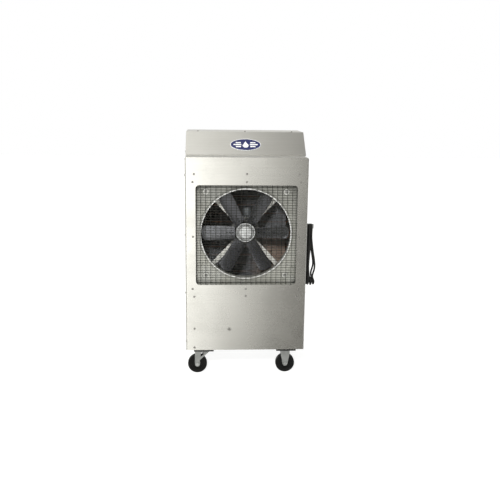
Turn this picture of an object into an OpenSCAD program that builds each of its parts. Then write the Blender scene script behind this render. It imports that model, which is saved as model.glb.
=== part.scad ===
/* [Cabinet] */
// Width of the cabinet across the front
cabinet_w = 610; // [600:1:640]
// Depth of the cabinet, front face to rear face
cabinet_d = 500; // [496:1:530]
// Height of the front panel
panel_h = 990; // [985:1:1010]
// Thickness of the stainless sheet
sheet = 1.5; // [1:0.1:1.6]
// Radius of the bends down the cabinet's vertical edges
edge_r = 6; // [4:0.5:8]
// Radius of the rolled edges along the top of the cabinet
top_r = 9; // [7:0.5:11]
// Height of the hood above the cabinet
hood_rise = 113; // [95:1:125]
// Depth of the flat ledge in front of the hood
hood_setback = 122; // [100:1:140]
// Depth covered by the hood's sloping front
hood_run = 126; // [100:1:140]
// Height of the upright lip at the foot of the hood's slope
hood_lip = 5; // [3:1:10]

/* [Air outlet] */
// Width and height of the square outlet opening
opening = 506; // [490:1:506]
// Corner radius of the outlet opening
opening_r = 19; // [10:1:30]
// Height of the fan's axis above the cabinet's bottom edge
outlet_z = 601; // [595:1:607]
// Diameter of the guard's wires
wire_d = 2; // [1.5:0.1:2]
// Spacing of the guard's upright wires
wire_pitch_x = 25.4; // [20:0.1:30]
// Spacing of the guard's level wires
wire_pitch_z = 12.7; // [10:0.1:16]

/* [Fan] */
// Diameter over the blade tips
fan_d = 446; // [420:1:448]
// Diameter of the round hole that the fan turns in
orifice_d = 458; // [454:1:460]
// Number of blades
blade_count = 6; // [4:1:6]
// Pitch angle of the blades
blade_pitch = 27; // [20:1:30]
// Width of a blade at its tip
blade_tip_w = 68; // [60:1:74]
// Width of a blade at its root
blade_root_w = 60; // [50:1:62]
// Diameter of the hub disc
hub_d = 100; // [96:1:104]
// Diameter of the fan shaft
shaft_d = 12.7; // [12:0.1:13]

/* [Filter] */
// Thickness of the filter's frame
filter_t = 20; // [16:1:20]
// Number of pleats in the filter
pleats = 32; // [20:1:40]

/* [Base and casters] */
// Width of a base rail
rail_w = 102; // [98:1:106]
// Thickness of a base rail
rail_t = 13; // [10:1:16]
// Distance between the skid holes across the machine
skid_x = 428; // [420:1:436]
// Distance between the skid holes along a rail
skid_y = 240; // [200:1:250]
// Radius of a skid hole
skid_hole_r = 5.5; // [4.5:0.5:6.5]
// Diameter of a wheel
wheel_d = 100; // [96:1:102]
// Width of a wheel's tread
wheel_w = 30; // [28:1:32]
// Height of the casters, floor to the rails' underside
caster_h = 132; // [130:1:136]
// Distance from a swivel's pin to its wheel's axle
trail = 36; // [30:1:38]

/* [Drain] */
// Radius of the drain spigot
spigot_r = 9.5; // [8:0.5:11]

/* [Hidden] */
$fn = 64;
front_y = -cabinet_d / 2;
rear_y = cabinet_d / 2;
half_w = cabinet_w / 2;
bottom_z = rail_t;
top_z = bottom_z + panel_h;
hood_z = top_z + hood_rise;
axis_z = bottom_z + outlet_z;
return_d = 14;
seam_gap = 0.5;
deck_flange = 3.5;
inside_bend_r = 6;
side_top_z = top_z - top_r - deck_flange - seam_gap;
inner_half_w = half_w - sheet - 0.3;
inner_half_d = rear_y - sheet - 0.2;
// Corner posts and cross rails
angle_w = 45;
angle_t = 2;
cross_h = 60;
cross_d = 22;
tray_half = 257.5;
cross_gap = 2;
cross_z = [tray_half + cross_gap + cross_h / 2, -(tray_half + cross_gap + cross_h / 2)];
// Outline of the hood, seen from the side
hood_y = front_y + hood_setback;
hood_profile = [
    [hood_y, top_z],
    [hood_y, top_z + hood_lip],
    [hood_y + hood_run, hood_z],
    [rear_y, hood_z],
    [rear_y, top_z]
];
hood_inner_profile = [
    [hood_y + sheet, top_z - 1],
    [hood_y + sheet, top_z + hood_lip - 1],
    [hood_y + hood_run + 0.5, hood_z - sheet],
    [rear_y - sheet, hood_z - sheet],
    [rear_y - sheet, top_z - 1]
];
hood_slope = atan2(hood_rise - hood_lip, hood_run);
// Oval badge, part of the way up the hood's slope
badge_w = 158;
badge_h = 84;
badge_t = 3;
badge_up = 0.42;
badge_steps = 72;
// Stiffening ribs of the base pan
rib_x = 231;
rib_h = 22;
// Wire guard and fan tray
guard_front_y = front_y + sheet + 0.3;
guard_t = 2 * wire_d + 0.7;
guard_bar = 4;
tray_front_y = guard_front_y + guard_t + 0.5;
tray_y = front_y + 50;
orifice_r = orifice_d / 2;
shroud_d = 40;
// Fan, motor and their mount
fan_r = fan_d / 2;
hub_r = hub_d / 2;
blade_y = front_y + 90;
blade_t = 2;
blade_arc_r = 160;
blade_root_x = hub_r + 4;
arm_t = 2.5;
arm_w = 24;
rivet_radii = [66, 81, 96];
rivet_r = 2.5;
mount_y = front_y + 144;
strap_w = 22;
strap_t = 3;
strap_r = 262;
mount_bolt = [202, 215];
motor_r = 65;
motor_l = 108;
motor_wall = 4;
motor_bell = 8;
motor_y = mount_y + strap_t + 0.6;
capacitor_r = 23;
capacitor_h = 50;
capacitor_x = 12;
bearing_r = 17.5;
shaft_r = shaft_d / 2;
fit = 0.02;
// Shelf, tray, coils
shelf_z = axis_z - 288.5;
drip_z = shelf_z + sheet;
coil_z = drip_z + sheet;
coil_half_w = 225;
coil_h = 520;
coil_d = 50;
coil_rows = 11;
tube_r = 4.7;
tube_pitch = 46;
condenser_y = 30;
evaporator_y = 110;
// Compressor, lines and drain
compressor_at = [80, 50];
compressor_r = 75;
compressor_z = bottom_z + 32;
compressor_h = 225;
accumulator_at = [185, 50];
line_r = 6;
line_right = 262;
drain_at = [-200, 150];
drain_z = bottom_z + 57;
// Filter and its rails
filter_half_w = 261;
filter_z = axis_z - 270;
filter_h = 545;
filter_y = rear_y + 3;
intake_w = 470;
intake_h = 500;
// Controls, on the right side panel
control_y = 90;
control_z = bottom_z + 920;
control_size = [200, 100];
switch_at = [-60, 5];
knob_at = [45, 0];
lamp_at = [-8, 24];
knob_r = 19;
rocker_tilt = 10;
rocker_r = 15;
rocker_w = 20;
rocker_back = 6;
trunnion_r = 2;
// Cord, on the right side panel
cord_r = 5;
cord_y = front_y + 100;
cord_top_z = bottom_z + 640;
cord_bottom_z = bottom_z + 317;
cord_loop_w = 74;
cord_x = half_w + 9;
cord_step = 10.5;
cord_loops = 2;
grip_at = [20, bottom_z + 758];
// Casters
caster_x = skid_x / 2;
king_x = -caster_x + 2;
caster_y = 185;
wheel_r = wheel_d / 2;
axle_z = -caster_h + wheel_r;
axle_r = 5;
plate_size = [90, 64, 3];
plate_hole = [35, 22];
bolt_r = 4;
leg_t = 3;
swivel_leg_r = 13;
rigid_leg_r = 13;
leg_y = wheel_w / 2 + 3;
crown_z = -13;
// Screws
screw_r = 2.2;
screw_hole_r = 2.35;
front_screws_side = [[260, 908], [267, 869], [266, 596], [270, 327], [261, 286], [261, 116], [262, 14]];
front_screws_mid = [910, 870, 326, 289];
side_screw_z = [40, 300, 600, 900];
hood_screw_y = [-60, 60, 200];

// ---- Helpers ----

// A flat outline drawn in X and Z, made solid from y towards +Y by depth
module solid_y(y, depth) {
    translate([0, y + depth, 0])
        rotate([90, 0, 0])
            linear_extrude(depth)
                children();
}

// A flat outline drawn in Y and Z, made solid from x towards +X by width
module solid_x(x, width) {
    translate([x, 0, 0])
        rotate([90, 0, 90])
            linear_extrude(width)
                children();
}

module rod_x(r, length) {
    rotate([0, 90, 0])
        cylinder(r = r, h = length);
}

module rod_y(r, length) {
    rotate([-90, 0, 0])
        cylinder(r = r, h = length);
}

module rounded_rect(w, h, r) {
    square([w - 2 * r, h], center = true);
    square([w, h - 2 * r], center = true);
    for (sx = [-1, 1], sz = [-1, 1])
        translate([sx * (w / 2 - r), sz * (h / 2 - r)])
            circle(r);
}

// A rectangle with only its two upper corners rounded
module round_topped(w, z0, z1, r) {
    intersection() {
        translate([0, z0])
            rounded_rect(w, 2 * (z1 - z0), r);
        translate([-w, z0])
            square([2 * w, z1 - z0 + 1]);
    }
}

// A pipe through a list of points, with a slightly larger fitting at each corner
module pipe(points, r) {
    for (i = [0 : len(points) - 2]) {
        step = points[i + 1] - points[i];
        translate(points[i])
            rotate([0, acos(step.z / norm(step)), atan2(step.y, step.x)])
                cylinder(r = r, h = norm(step));
    }
    if (len(points) > 2)
        for (i = [1 : len(points) - 2])
            translate(points[i])
                sphere(r * 1.15);
}

// A half ring of round bar in the X-Z plane, open downwards
module half_ring(bend_r, r) {
    rotate([90, 0, 0])
        rotate_extrude(angle = 180)
            translate([bend_r, 0])
                circle(r);
}

// A round can standing on z = 0 with rolled edges
module can(r, h, edge) {
    rotate_extrude()
        intersection() {
            translate([0, h / 2])
                rounded_rect(2 * r, h, edge);
            square([r + 1, h + 1]);
        }
}

module hex_head(r, h) {
    cylinder(r = r, h = h, $fn = 6);
}

module washer_head_screw() {
    cylinder(r = 5.6, h = 1.1);
    translate([0, 0, 1])
        hex_head(4.4, 2.6);
    translate([0, 0, -7])
        cylinder(r = screw_r, h = 7.5);
}

module screw_hole() {
    translate([0, 0, -12])
        cylinder(r = screw_hole_r, h = 14);
}

module at_front_screws() {
    for (s = [-1, 1], p = front_screws_side)
        translate([s * p.x, front_y, bottom_z + p.y])
            rotate([90, 0, 0])
                children();
    for (z = front_screws_mid)
        translate([0, front_y, bottom_z + z])
            rotate([90, 0, 0])
                children();
}

module at_rear_screws() {
    for (s = [-1, 1], z = side_screw_z)
        translate([s * (half_w - 14), rear_y, bottom_z + z])
            rotate([-90, 0, 0])
                children();
}

module at_side_screws() {
    for (s = [-1, 1], y = [-1, 1], z = side_screw_z)
        translate([s * half_w, y * (rear_y - 28), bottom_z + z])
            rotate([0, s * 90, 0])
                children();
}

module at_hood_screws() {
    for (s = [-1, 1], y = hood_screw_y)
        translate([s * half_w, y, top_z + 14])
            rotate([0, s * 90, 0])
                children();
    for (s = [-1, 0, 1])
        translate([s * (half_w - 60), front_y + hood_setback + hood_run + 16, hood_z])
            children();
}

// ---- Cabinet ----

// A flat sheet with its upright edges bent back, and rounded upper corners
module pan_panel() {
    intersection() {
        translate([0, 0, bottom_z])
            linear_extrude(panel_h)
                intersection() {
                    translate([0, front_y + 30])
                        difference() {
                            rounded_rect(cabinet_w, 60, edge_r);
                            rounded_rect(cabinet_w - 2 * sheet, 60 - 2 * sheet, edge_r - sheet);
                        }
                    translate([-cabinet_w, front_y])
                        square([2 * cabinet_w, return_d]);
                }
        solid_y(front_y - 1, return_d + 2)
            round_topped(cabinet_w, bottom_z, top_z, top_r);
        // The bent edges stop below the deck's own edges
        union() {
            translate([-cabinet_w, front_y - 1, 0])
                cube([2 * cabinet_w, sheet + 1, top_z + 1]);
            translate([-cabinet_w, front_y - 1, 0])
                cube([2 * cabinet_w, return_d + 2, side_top_z]);
        }
    }
}

module front_panel() color("#c6c5bf") {
    difference() {
        pan_panel();
        solid_y(front_y - 1, sheet + 2)
            translate([0, axis_z])
                rounded_rect(opening, opening, opening_r);
        at_front_screws()
            screw_hole();
    }
}

module rear_panel() color("#bdbcb6") {
    difference() {
        rotate([0, 0, 180])
            pan_panel();
        solid_y(rear_y - sheet - 1, sheet + 2)
            translate([0, axis_z])
                rounded_rect(intake_w, intake_h, opening_r);
        at_rear_screws()
            screw_hole();
        translate([drain_at.x, rear_y - 5, drain_z])
            rod_y(spigot_r + 0.1, 10);
    }
}

module side_sheet() {
    y0 = front_y + return_d + seam_gap;
    translate([half_w - sheet, y0, bottom_z])
        cube([sheet, -2 * y0, side_top_z - bottom_z]);
}

module left_side_panel() color("#c9c8c3") {
    difference() {
        mirror([1, 0, 0])
            side_sheet();
        at_side_screws()
            screw_hole();
    }
}

module right_side_panel() color("#a9a69f") {
    difference() {
        side_sheet();
        at_side_screws()
            screw_hole();
        solid_x(half_w - sheet - 1, sheet + 2)
            translate([control_y, control_z])
                square([control_size.x - 20, control_size.y - 20], center = true);
        translate([half_w - 5, grip_at.x, grip_at.y])
            rod_x(9.1, 10);
    }
}

module top_deck() color("#8f8d86") {
    z0 = side_top_z + seam_gap;
    solid_y(front_y + sheet + 0.1, cabinet_d - 2 * sheet - 0.2)
        difference() {
            round_topped(cabinet_w, z0, top_z, top_r);
            round_topped(cabinet_w - 2 * sheet, z0 - 5, top_z - sheet, top_r - sheet);
        }
}

module top_hood() color("#b5b6ae") {
    difference() {
        solid_x(-half_w, cabinet_w)
            polygon(hood_profile);
        solid_x(-half_w + sheet, cabinet_w - 2 * sheet)
            polygon(hood_inner_profile);
        at_hood_screws()
            screw_hole();
    }
}

// The oval plate lies on the hood's slope
module badge() color("#1d2a6b") {
    translate([0, hood_y + badge_up * hood_run, top_z + hood_lip + badge_up * (hood_rise - hood_lip)])
        rotate([hood_slope, 0, 0])
            translate([0, 0, 0.05])
                linear_extrude(badge_t)
                    polygon([for (i = [0 : badge_steps - 1])
                        let (a = 360 * i / badge_steps)
                        [badge_w / 2 * cos(a), badge_h / 2 * sin(a)]]);
}

module base_pan() color("#6f706c") {
    difference() {
        union() {
            translate([0, 0, bottom_z])
                linear_extrude(angle_t)
                    rounded_rect(2 * inner_half_w, 2 * inner_half_d, inside_bend_r);
            for (s = [-1, 1])
                translate([s * rib_x - angle_t / 2, -inner_half_d + angle_w + 5, bottom_z])
                    cube([angle_t, 2 * (inner_half_d - angle_w - 5), rib_h]);
        }
        at_skid_holes()
            cylinder(r = skid_hole_r, h = 60, center = true);
        at_caster_bolts()
            cylinder(r = bolt_r + 0.2, h = 60, center = true);
    }
}

// An L with its outer corner at the origin, rounded to clear the sheet's inside bend
module angle_section() {
    difference() {
        intersection() {
            translate([-angle_w, -angle_w])
                rounded_rect(2 * angle_w, 2 * angle_w, inside_bend_r);
            translate([-angle_w, -angle_w])
                square(angle_w);
        }
        translate([-angle_w - 1, -angle_w - 1])
            square(angle_w + 1 - angle_t);
    }
}

// Angle posts in the four corners, joined by two cross rails at the front and rear
module cabinet_frame() color("#9b9c9a") {
    post_z = bottom_z + 2.2;
    post_h = side_top_z - 1 - post_z;
    difference() {
        union() {
            for (sx = [-1, 1], sy = [-1, 1])
                scale([sx, sy, 1])
                    translate([inner_half_w, inner_half_d, post_z])
                        linear_extrude(post_h)
                            angle_section();
            for (z = cross_z, sy = [-1, 1])
                scale([1, sy, 1])
                    translate([0, inner_half_d, axis_z + z])
                        cross_rail();
        }
        at_front_screws()
            screw_hole();
        at_rear_screws()
            screw_hole();
        at_side_screws()
            screw_hole();
    }
}

module cross_rail() {
    length = 2 * (inner_half_w - angle_w) + 1;
    translate([-length / 2, -angle_t, -cross_h / 2])
        cube([length, angle_t, cross_h]);
    for (s = [-1, 1])
        translate([-length / 2, -cross_d, s * (cross_h - angle_t) / 2 - angle_t / 2])
            cube([length, cross_d, angle_t]);
}

module mid_shelf() color("#8b8c8a") {
    corner = angle_w + 6;
    difference() {
        translate([-inner_half_w + 1, front_y + 32, shelf_z])
            cube([2 * inner_half_w - 2, cabinet_d - 64, sheet]);
        for (sx = [-1, 1], sy = [-1, 1])
            translate([sx * (inner_half_w - corner / 2 + 1), sy * (inner_half_d - corner / 2 + 1), shelf_z])
                cube([corner, corner, 10], center = true);
        translate([drain_at.x, drain_at.y, shelf_z - 5])
            cylinder(r = 12, h = 10);
        for (y = [condenser_y + coil_d / 2, evaporator_y + coil_d / 2])
            translate([line_right, y, shelf_z - 5])
                cylinder(r = line_r + 4, h = 10);
    }
}

module at_skid_holes() {
    for (sx = [-1, 1], sy = [-1, 1])
        translate([sx * skid_x / 2, sy * skid_y / 2, 0])
            children();
}

module at_caster_bolts() {
    for (x = [king_x, caster_x], sy = [-1, 1], px = [-1, 1], py = [-1, 1])
        translate([x + px * plate_hole.x, sy * caster_y + py * plate_hole.y, 0])
            children();
}

module base_rails() color("#1b1b1c") {
    difference() {
        for (s = [-1, 1])
            translate([s * caster_x - rail_w / 2, front_y + 12, 0])
                cube([rail_w, cabinet_d - 24, rail_t]);
        at_skid_holes()
            cylinder(r = skid_hole_r, h = 60, center = true);
        at_caster_bolts()
            cylinder(r = bolt_r + 0.2, h = 60, center = true);
    }
}

module panel_screws() color("#8d8d8b") {
    at_front_screws()
        washer_head_screw();
    at_rear_screws()
        washer_head_screw();
    at_side_screws()
        washer_head_screw();
    at_hood_screws()
        washer_head_screw();
}

// ---- Outlet guard and fan ----

function grid(pitch, half) = [for (i = [-floor(half / pitch) : floor(half / pitch)]) i * pitch];

module wire_guard() color("#8f918f") {
    inner = tray_half - guard_bar;
    level_y = guard_front_y + 0.2 + wire_d / 2;
    upright_y = level_y + wire_d + 0.1;
    solid_y(guard_front_y, guard_t)
        translate([0, axis_z])
            difference() {
                square(2 * tray_half, center = true);
                square(2 * inner, center = true);
            }
    for (z = grid(wire_pitch_z, inner))
        translate([-inner - 1, level_y, axis_z + z])
            rod_x(wire_d / 2, 2 * inner + 2);
    for (x = grid(wire_pitch_x, inner))
        translate([x, upright_y, axis_z - inner - 1])
            cylinder(r = wire_d / 2, h = 2 * inner + 2);
}

// A shallow square tray with a round hole, a short duct and a rolled lip
module fan_panel() color("#bfc1bd") {
    difference() {
        union() {
            solid_y(tray_front_y, tray_y + sheet - tray_front_y)
                translate([0, axis_z])
                    difference() {
                        square(2 * tray_half, center = true);
                        square(2 * (tray_half - sheet), center = true);
                    }
            solid_y(tray_y, sheet)
                translate([0, axis_z])
                    difference() {
                        square(2 * tray_half, center = true);
                        circle(orifice_r + 4);
                    }
            translate([0, 0, axis_z])
                rotate([-90, 0, 0])
                    rotate_extrude($fn = 128)
                        orifice_section();
        }
        for (sx = [-1, 1], sz = [-1, 1])
            translate([sx * mount_bolt.x, tray_y - 5, axis_z + sz * mount_bolt.y])
                rod_y(4.2, 12);
    }
}

module orifice_section() {
    lip_r = 5;
    translate([orifice_r, tray_y])
        square([1.5, shroud_d]);
    translate([orifice_r, tray_y])
        square([6, sheet]);
    translate([orifice_r + lip_r, tray_y])
        difference() {
            circle(lip_r);
            circle(lip_r - 1.5);
            translate([-10, 0.5])
                square(20);
        }
}

// A strap on one diagonal: foot on the tray, leg back, arm in to the motor ring
module mount_strap() {
    foot_y = tray_y + sheet + 0.05;
    foot_r = norm(mount_bolt);
    difference() {
        translate([0, 0, -strap_w / 2])
            linear_extrude(strap_w)
                polygon([
                    [foot_r + 14, foot_y],
                    [foot_r + 14, foot_y + strap_t],
                    [strap_r, foot_y + strap_t],
                    [strap_r, mount_y + strap_t],
                    [60, mount_y + strap_t],
                    [60, mount_y],
                    [strap_r - strap_t, mount_y],
                    [strap_r - strap_t, foot_y]
                ]);
        translate([foot_r, foot_y - 5, 0])
            rod_y(4.2, 20);
    }
}

module motor_mount() color("#c9cac6") {
    mount_angle = atan2(mount_bolt.y, mount_bolt.x);
    difference() {
        union() {
            for (a = [mount_angle, 180 - mount_angle, 180 + mount_angle, -mount_angle])
                translate([0, 0, axis_z])
                    rotate([0, -a, 0])
                        mount_strap();
            translate([0, mount_y - 0.5, axis_z])
                rod_y(72, strap_t + 1);
        }
        translate([0, mount_y - 5, axis_z])
            rod_y(22, 20);
        at_motor_bolts()
            rod_y(2.7, 20);
    }
}

module at_motor_bolts() {
    for (a = [0 : 90 : 270])
        translate([50 * cos(a), mount_y - 5, axis_z + 50 * sin(a)])
            children();
}

module mount_bolts() color("#b9bab7") {
    for (sx = [-1, 1], sz = [-1, 1])
        translate([sx * mount_bolt.x, tray_y, axis_z + sz * mount_bolt.y]) {
            translate([0, -1.6, 0])
                rod_y(12.5, 1.5);
            translate([0, -6.5, 0])
                rotate([-90, 0, 0])
                    hex_head(7, 5);
            translate([0, -2, 0])
                rod_y(4, 16);
            translate([0, sheet + strap_t + 0.2, 0])
                rotate([-90, 0, 0])
                    hex_head(7, 6);
        }
    translate([0, 1.1, 0])
        at_motor_bolts() {
            rotate([-90, 0, 0])
                hex_head(4.4, 3.3);
            rod_y(2.5, 12);
        }
}

// Positions along the motor are measured from its front face
module motor_shell() color("#57585a") {
    translate([0, motor_y, axis_z])
        difference() {
            union() {
                rod_y(motor_r, motor_l);
                translate([0, -9, 0])
                    rod_y(21, 10);
                for (a = [0 : 15 : 345])
                    rotate([0, a, 0])
                        translate([motor_r - 1, 14, -1])
                            cube([3.5, motor_l - 28, 2]);
            }
            translate([0, motor_bell, 0])
                rod_y(motor_r - motor_wall, motor_l - 2 * motor_bell);
            translate([0, -7, 0])
                rod_y(bearing_r + fit, motor_bell + 8);
            translate([0, -10, 0])
                rod_y(shaft_r + 1.5, 10);
            translate([0, motor_l - motor_bell - 1, 0])
                rod_y(bearing_r + fit, motor_bell - 1);
            translate([0, -motor_y, -axis_z])
                at_motor_bolts()
                    rod_y(2.6, 16);
        }
}

module motor_stator() color("#8a4a24") {
    translate([0, motor_y + 20, axis_z])
        difference() {
            rod_y(motor_r - motor_wall - 0.1, 62);
            translate([0, -1, 0])
                rod_y(34.6, 64);
        }
}

module motor_bearings() color("#c0c2c4") {
    for (y = [-6.8, motor_l - motor_bell - 5])
        translate([0, motor_y + y, axis_z])
            difference() {
                rod_y(bearing_r, 10);
                translate([0, -1, 0])
                    rod_y(shaft_r + fit, 12);
            }
}

// The motor's run capacitor: an upright can on a saddle above the motor
module motor_capacitor() color("#7d8388") {
    translate([capacitor_x, motor_y + 42, axis_z + motor_r + 6]) {
        can(capacitor_r, capacitor_h, 10);
        translate([-20, -14, -3])
            cube([40, 28, 3.2]);
    }
}

module fan_shaft() color("#a7a9ab") {
    translate([0, blade_y - 3, axis_z])
        rod_y(shaft_r, motor_y + motor_l - 4 - blade_y);
}

module motor_rotor() color("#909294") {
    translate([0, motor_y + 22, axis_z])
        difference() {
            rod_y(34, 58);
            translate([0, -1, 0])
                rod_y(shaft_r + fit, 60);
        }
}

// A cambered strip that runs out along +X, hollow side towards -Y, standing behind the blades' hollow side
module cambered_strip(x0, x1, w, behind, t) {
    r = blade_arc_r + behind;
    translate([0, -blade_arc_r, 0])
        solid_x(x0, x1 - x0)
            intersection() {
                difference() {
                    circle(r + t, $fn = 180);
                    circle(r, $fn = 180);
                }
                translate([0, -w / 2])
                    square([r + t + 5, w]);
            }
}

module at_blades() {
    for (i = [0 : blade_count - 1])
        translate([0, blade_y, axis_z])
            rotate([0, -i * 360 / blade_count, 0])
                children();
}

module at_rivets() {
    for (x = rivet_radii)
        translate([x, -2, 0])
            children();
}

module fan_hub() color("#dcdedd") {
    difference() {
        union() {
            translate([0, blade_y, axis_z]) {
                translate([0, -1, 0])
                    rod_y(hub_r, 6);
                translate([0, -5, 0])
                    difference() {
                        rod_y(hub_r, 5);
                        translate([0, -1, 0])
                            rod_y(hub_r - 7, 7);
                    }
                translate([0, -6, 0])
                    rod_y(32, 6);
                rod_y(18, 30);
            }
            at_blades()
                rotate([blade_pitch, 0, 0])
                    cambered_strip(40, 108, arm_w, blade_t + 0.1, arm_t);
        }
        translate([0, blade_y - 3.2, axis_z])
            rod_y(shaft_r + fit, 40);
        at_blades()
            rotate([blade_pitch, 0, 0])
                at_rivets()
                    rod_y(rivet_r + 0.1, 12);
    }
}

module fan_blades() color("#7b7d80") {
    at_blades()
        difference() {
            intersection() {
                rotate([blade_pitch, 0, 0])
                    cambered_strip(blade_root_x, fan_r + 5, 90, 0, blade_t);
                solid_y(-60, 120)
                    polygon([
                        [blade_root_x, -blade_root_w / 2],
                        [fan_r * 0.72, -blade_tip_w / 2 + 2],
                        [fan_r + 4, -blade_tip_w / 2],
                        [fan_r + 4, blade_tip_w / 2],
                        [fan_r * 0.72, blade_tip_w / 2 - 2],
                        [blade_root_x, blade_root_w / 2]
                    ]);
                translate([0, -60, 0])
                    rod_y(fan_r, 120, $fn = 128);
            }
            rotate([blade_pitch, 0, 0])
                at_rivets()
                    rod_y(rivet_r + 0.1, 12);
        }
}

module blade_rivets() color("#b7b9bb") {
    at_blades()
        rotate([blade_pitch, 0, 0])
            for (x = rivet_radii)
                translate([x, 0, 0]) {
                    translate([0, -1.7, 0])
                        rod_y(4.5, 1.6);
                    translate([0, -1, 0])
                        rod_y(rivet_r, blade_t + arm_t + 2);
                    translate([0, blade_t + arm_t + 0.2, 0])
                        rod_y(4, 1.4);
                }
}

// ---- Refrigeration ----

function tube_row_z(i) = coil_z + (coil_h - (coil_rows - 1) * tube_pitch) / 2 + i * tube_pitch;

module coil_core(y) {
    difference() {
        translate([-coil_half_w, y, coil_z])
            cube([2 * coil_half_w, coil_d, coil_h]);
        for (c = [0.28, 0.72], i = [0 : coil_rows - 1])
            translate([-coil_half_w - 1, y + c * coil_d, tube_row_z(i)])
                rod_x(tube_r + 0.1, 2 * coil_half_w + 2);
    }
}

// Straight tubes through the core, joined by bends at alternate ends
module coil_tubes(y) {
    reach = coil_half_w + 4;
    for (c = [0.28, 0.72]) {
        for (i = [0 : coil_rows - 1])
            translate([-reach, y + c * coil_d, tube_row_z(i)])
                rod_x(tube_r, 2 * reach);
        for (i = [0 : coil_rows - 2])
            let (side = i % 2 == 0 ? 1 : -1)
            translate([side * reach, y + c * coil_d, tube_row_z(i) + tube_pitch / 2])
                rotate([0, side * 90, 0])
                    half_ring(tube_pitch / 2, tube_r);
    }
}

module condenser_core() color("#a4a8a6") coil_core(condenser_y);

module condenser_tubes() color("#a8623a") coil_tubes(condenser_y);

module evaporator_core() color("#b2b6b6") coil_core(evaporator_y);

module evaporator_tubes() color("#b06a40") coil_tubes(evaporator_y);

module drip_tray() color("#9fa3a5") {
    difference() {
        translate([-248, condenser_y - 12, drip_z])
            cube([496, evaporator_y + coil_d - condenser_y + 24, 16]);
        translate([-246.5, condenser_y - 10.5, drip_z + sheet])
            cube([493, evaporator_y + coil_d - condenser_y + 21, 20]);
        translate([drain_at.x, drain_at.y, drip_z - 5])
            cylinder(r = 5, h = 12);
    }
}

module compressor() color("#232427") {
    translate([compressor_at.x, compressor_at.y, compressor_z])
        can(compressor_r, compressor_h, 32);
    translate([accumulator_at.x, accumulator_at.y, compressor_z + 20])
        can(28, 150, 14);
    translate([compressor_at.x + compressor_r - 8, accumulator_at.y - 6, compressor_z + 80])
        cube([accumulator_at.x - compressor_at.x - compressor_r + 8 - 20, 12, 8]);
    difference() {
        translate([compressor_at.x - 95, compressor_at.y - 60, compressor_z])
            cube([190, 120, 4]);
        at_compressor_feet()
            cylinder(r = 5, h = 60, center = true);
    }
}

module at_compressor_feet() {
    for (sx = [-1, 1], sy = [-1, 1])
        translate([compressor_at.x + sx * 85, compressor_at.y + sy * 50, compressor_z])
            children();
}

module compressor_feet() color("#2b2b2b") {
    foot_h = compressor_z - bottom_z - 2;
    at_compressor_feet() {
        translate([0, 0, -foot_h])
            cylinder(r = 11, h = foot_h - 0.1);
        translate([0, 0, -1])
            cylinder(r = 4.8, h = 9);
    }
}

// Discharge and suction lines from the compressor up to the two coils
module refrigerant_lines() color("#b0683c") {
    top = compressor_z + compressor_h;
    hot_y = condenser_y + coil_d / 2;
    cold_y = evaporator_y + coil_d / 2;
    hot_z = tube_row_z(coil_rows - 1) + 22;
    cold_z = tube_row_z(0) + 20;
    pipe([
        [compressor_at.x + 20, compressor_at.y, top + 0.3],
        [compressor_at.x + 20, compressor_at.y, top + 30],
        [line_right, hot_y, top + 30],
        [line_right, hot_y, hot_z]
    ], line_r);
    pipe([
        [accumulator_at.x, accumulator_at.y, compressor_z + 170.3],
        [accumulator_at.x, accumulator_at.y, compressor_z + 200],
        [accumulator_at.x, cold_y, compressor_z + 200],
        [line_right, cold_y, compressor_z + 200],
        [line_right, cold_y, cold_z]
    ], line_r);
}

module filter_drier() color("#b8713f") {
    translate([line_right - 30, -30, shelf_z + sheet + 40]) {
        translate([0, 0, 18])
            can(13, 110, 9);
        cylinder(r = 3.2, h = 30);
        translate([0, 0, 120])
            cylinder(r = 3.2, h = 30);
        translate([-16, 14, 40])
            cube([32, 2, 60]);
        translate([-2, 10, 60])
            cube([4, 5, 20]);
    }
}

module drain_hose() color("#d7d7d2") {
    pipe([
        [drain_at.x, drain_at.y, drip_z - 0.3],
        [drain_at.x, drain_at.y, drain_z],
        [drain_at.x, rear_y - 14, drain_z]
    ], 7);
}

module drain_outlet() color("#2a2a2c") {
    difference() {
        translate([drain_at.x, 0, drain_z]) {
            translate([0, rear_y + 0.1, 0])
                rod_y(17, 4);
            translate([0, rear_y - 12, 0])
                rod_y(spigot_r - 0.1, 16);
            translate([0, rear_y + 4, 0])
                rod_y(spigot_r, 30);
        }
        translate([drain_at.x, rear_y - 13, drain_z])
            rod_y(6, 60);
    }
}

// ---- Filter ----

module filter_rails() color("#b9b8b2") {
    clear = 0.5;
    wall = 1.5;
    lip = 10;
    z0 = filter_z - wall - 0.3;
    x0 = filter_half_w + clear;
    for (s = [-1, 1])
        scale([s, 1, 1])
            translate([0, 0, z0])
                linear_extrude(filter_h * 0.96)
                    difference() {
                        translate([x0 - lip, rear_y + 0.1])
                            square([lip + wall, filter_t + 6]);
                        translate([x0 - lip - 1, rear_y + wall + 0.6])
                            square([lip + 1, filter_t + 6 - 2 * wall - 0.6]);
                    }
    translate([-x0 + lip, rear_y + 0.1, z0])
        cube([2 * (x0 - lip), filter_t + 6, wall]);
}

module filter_frame() color("#9da0a2") {
    border = 20;
    solid_y(filter_y, filter_t)
        translate([0, filter_z + filter_h / 2])
            difference() {
                square([2 * filter_half_w, filter_h], center = true);
                square([2 * (filter_half_w - border), filter_h - 2 * border], center = true);
            }
    translate([-40, filter_y + filter_t / 2 - 1.5, filter_z + filter_h - 1])
        cube([80, 3, 22]);
}

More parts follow.
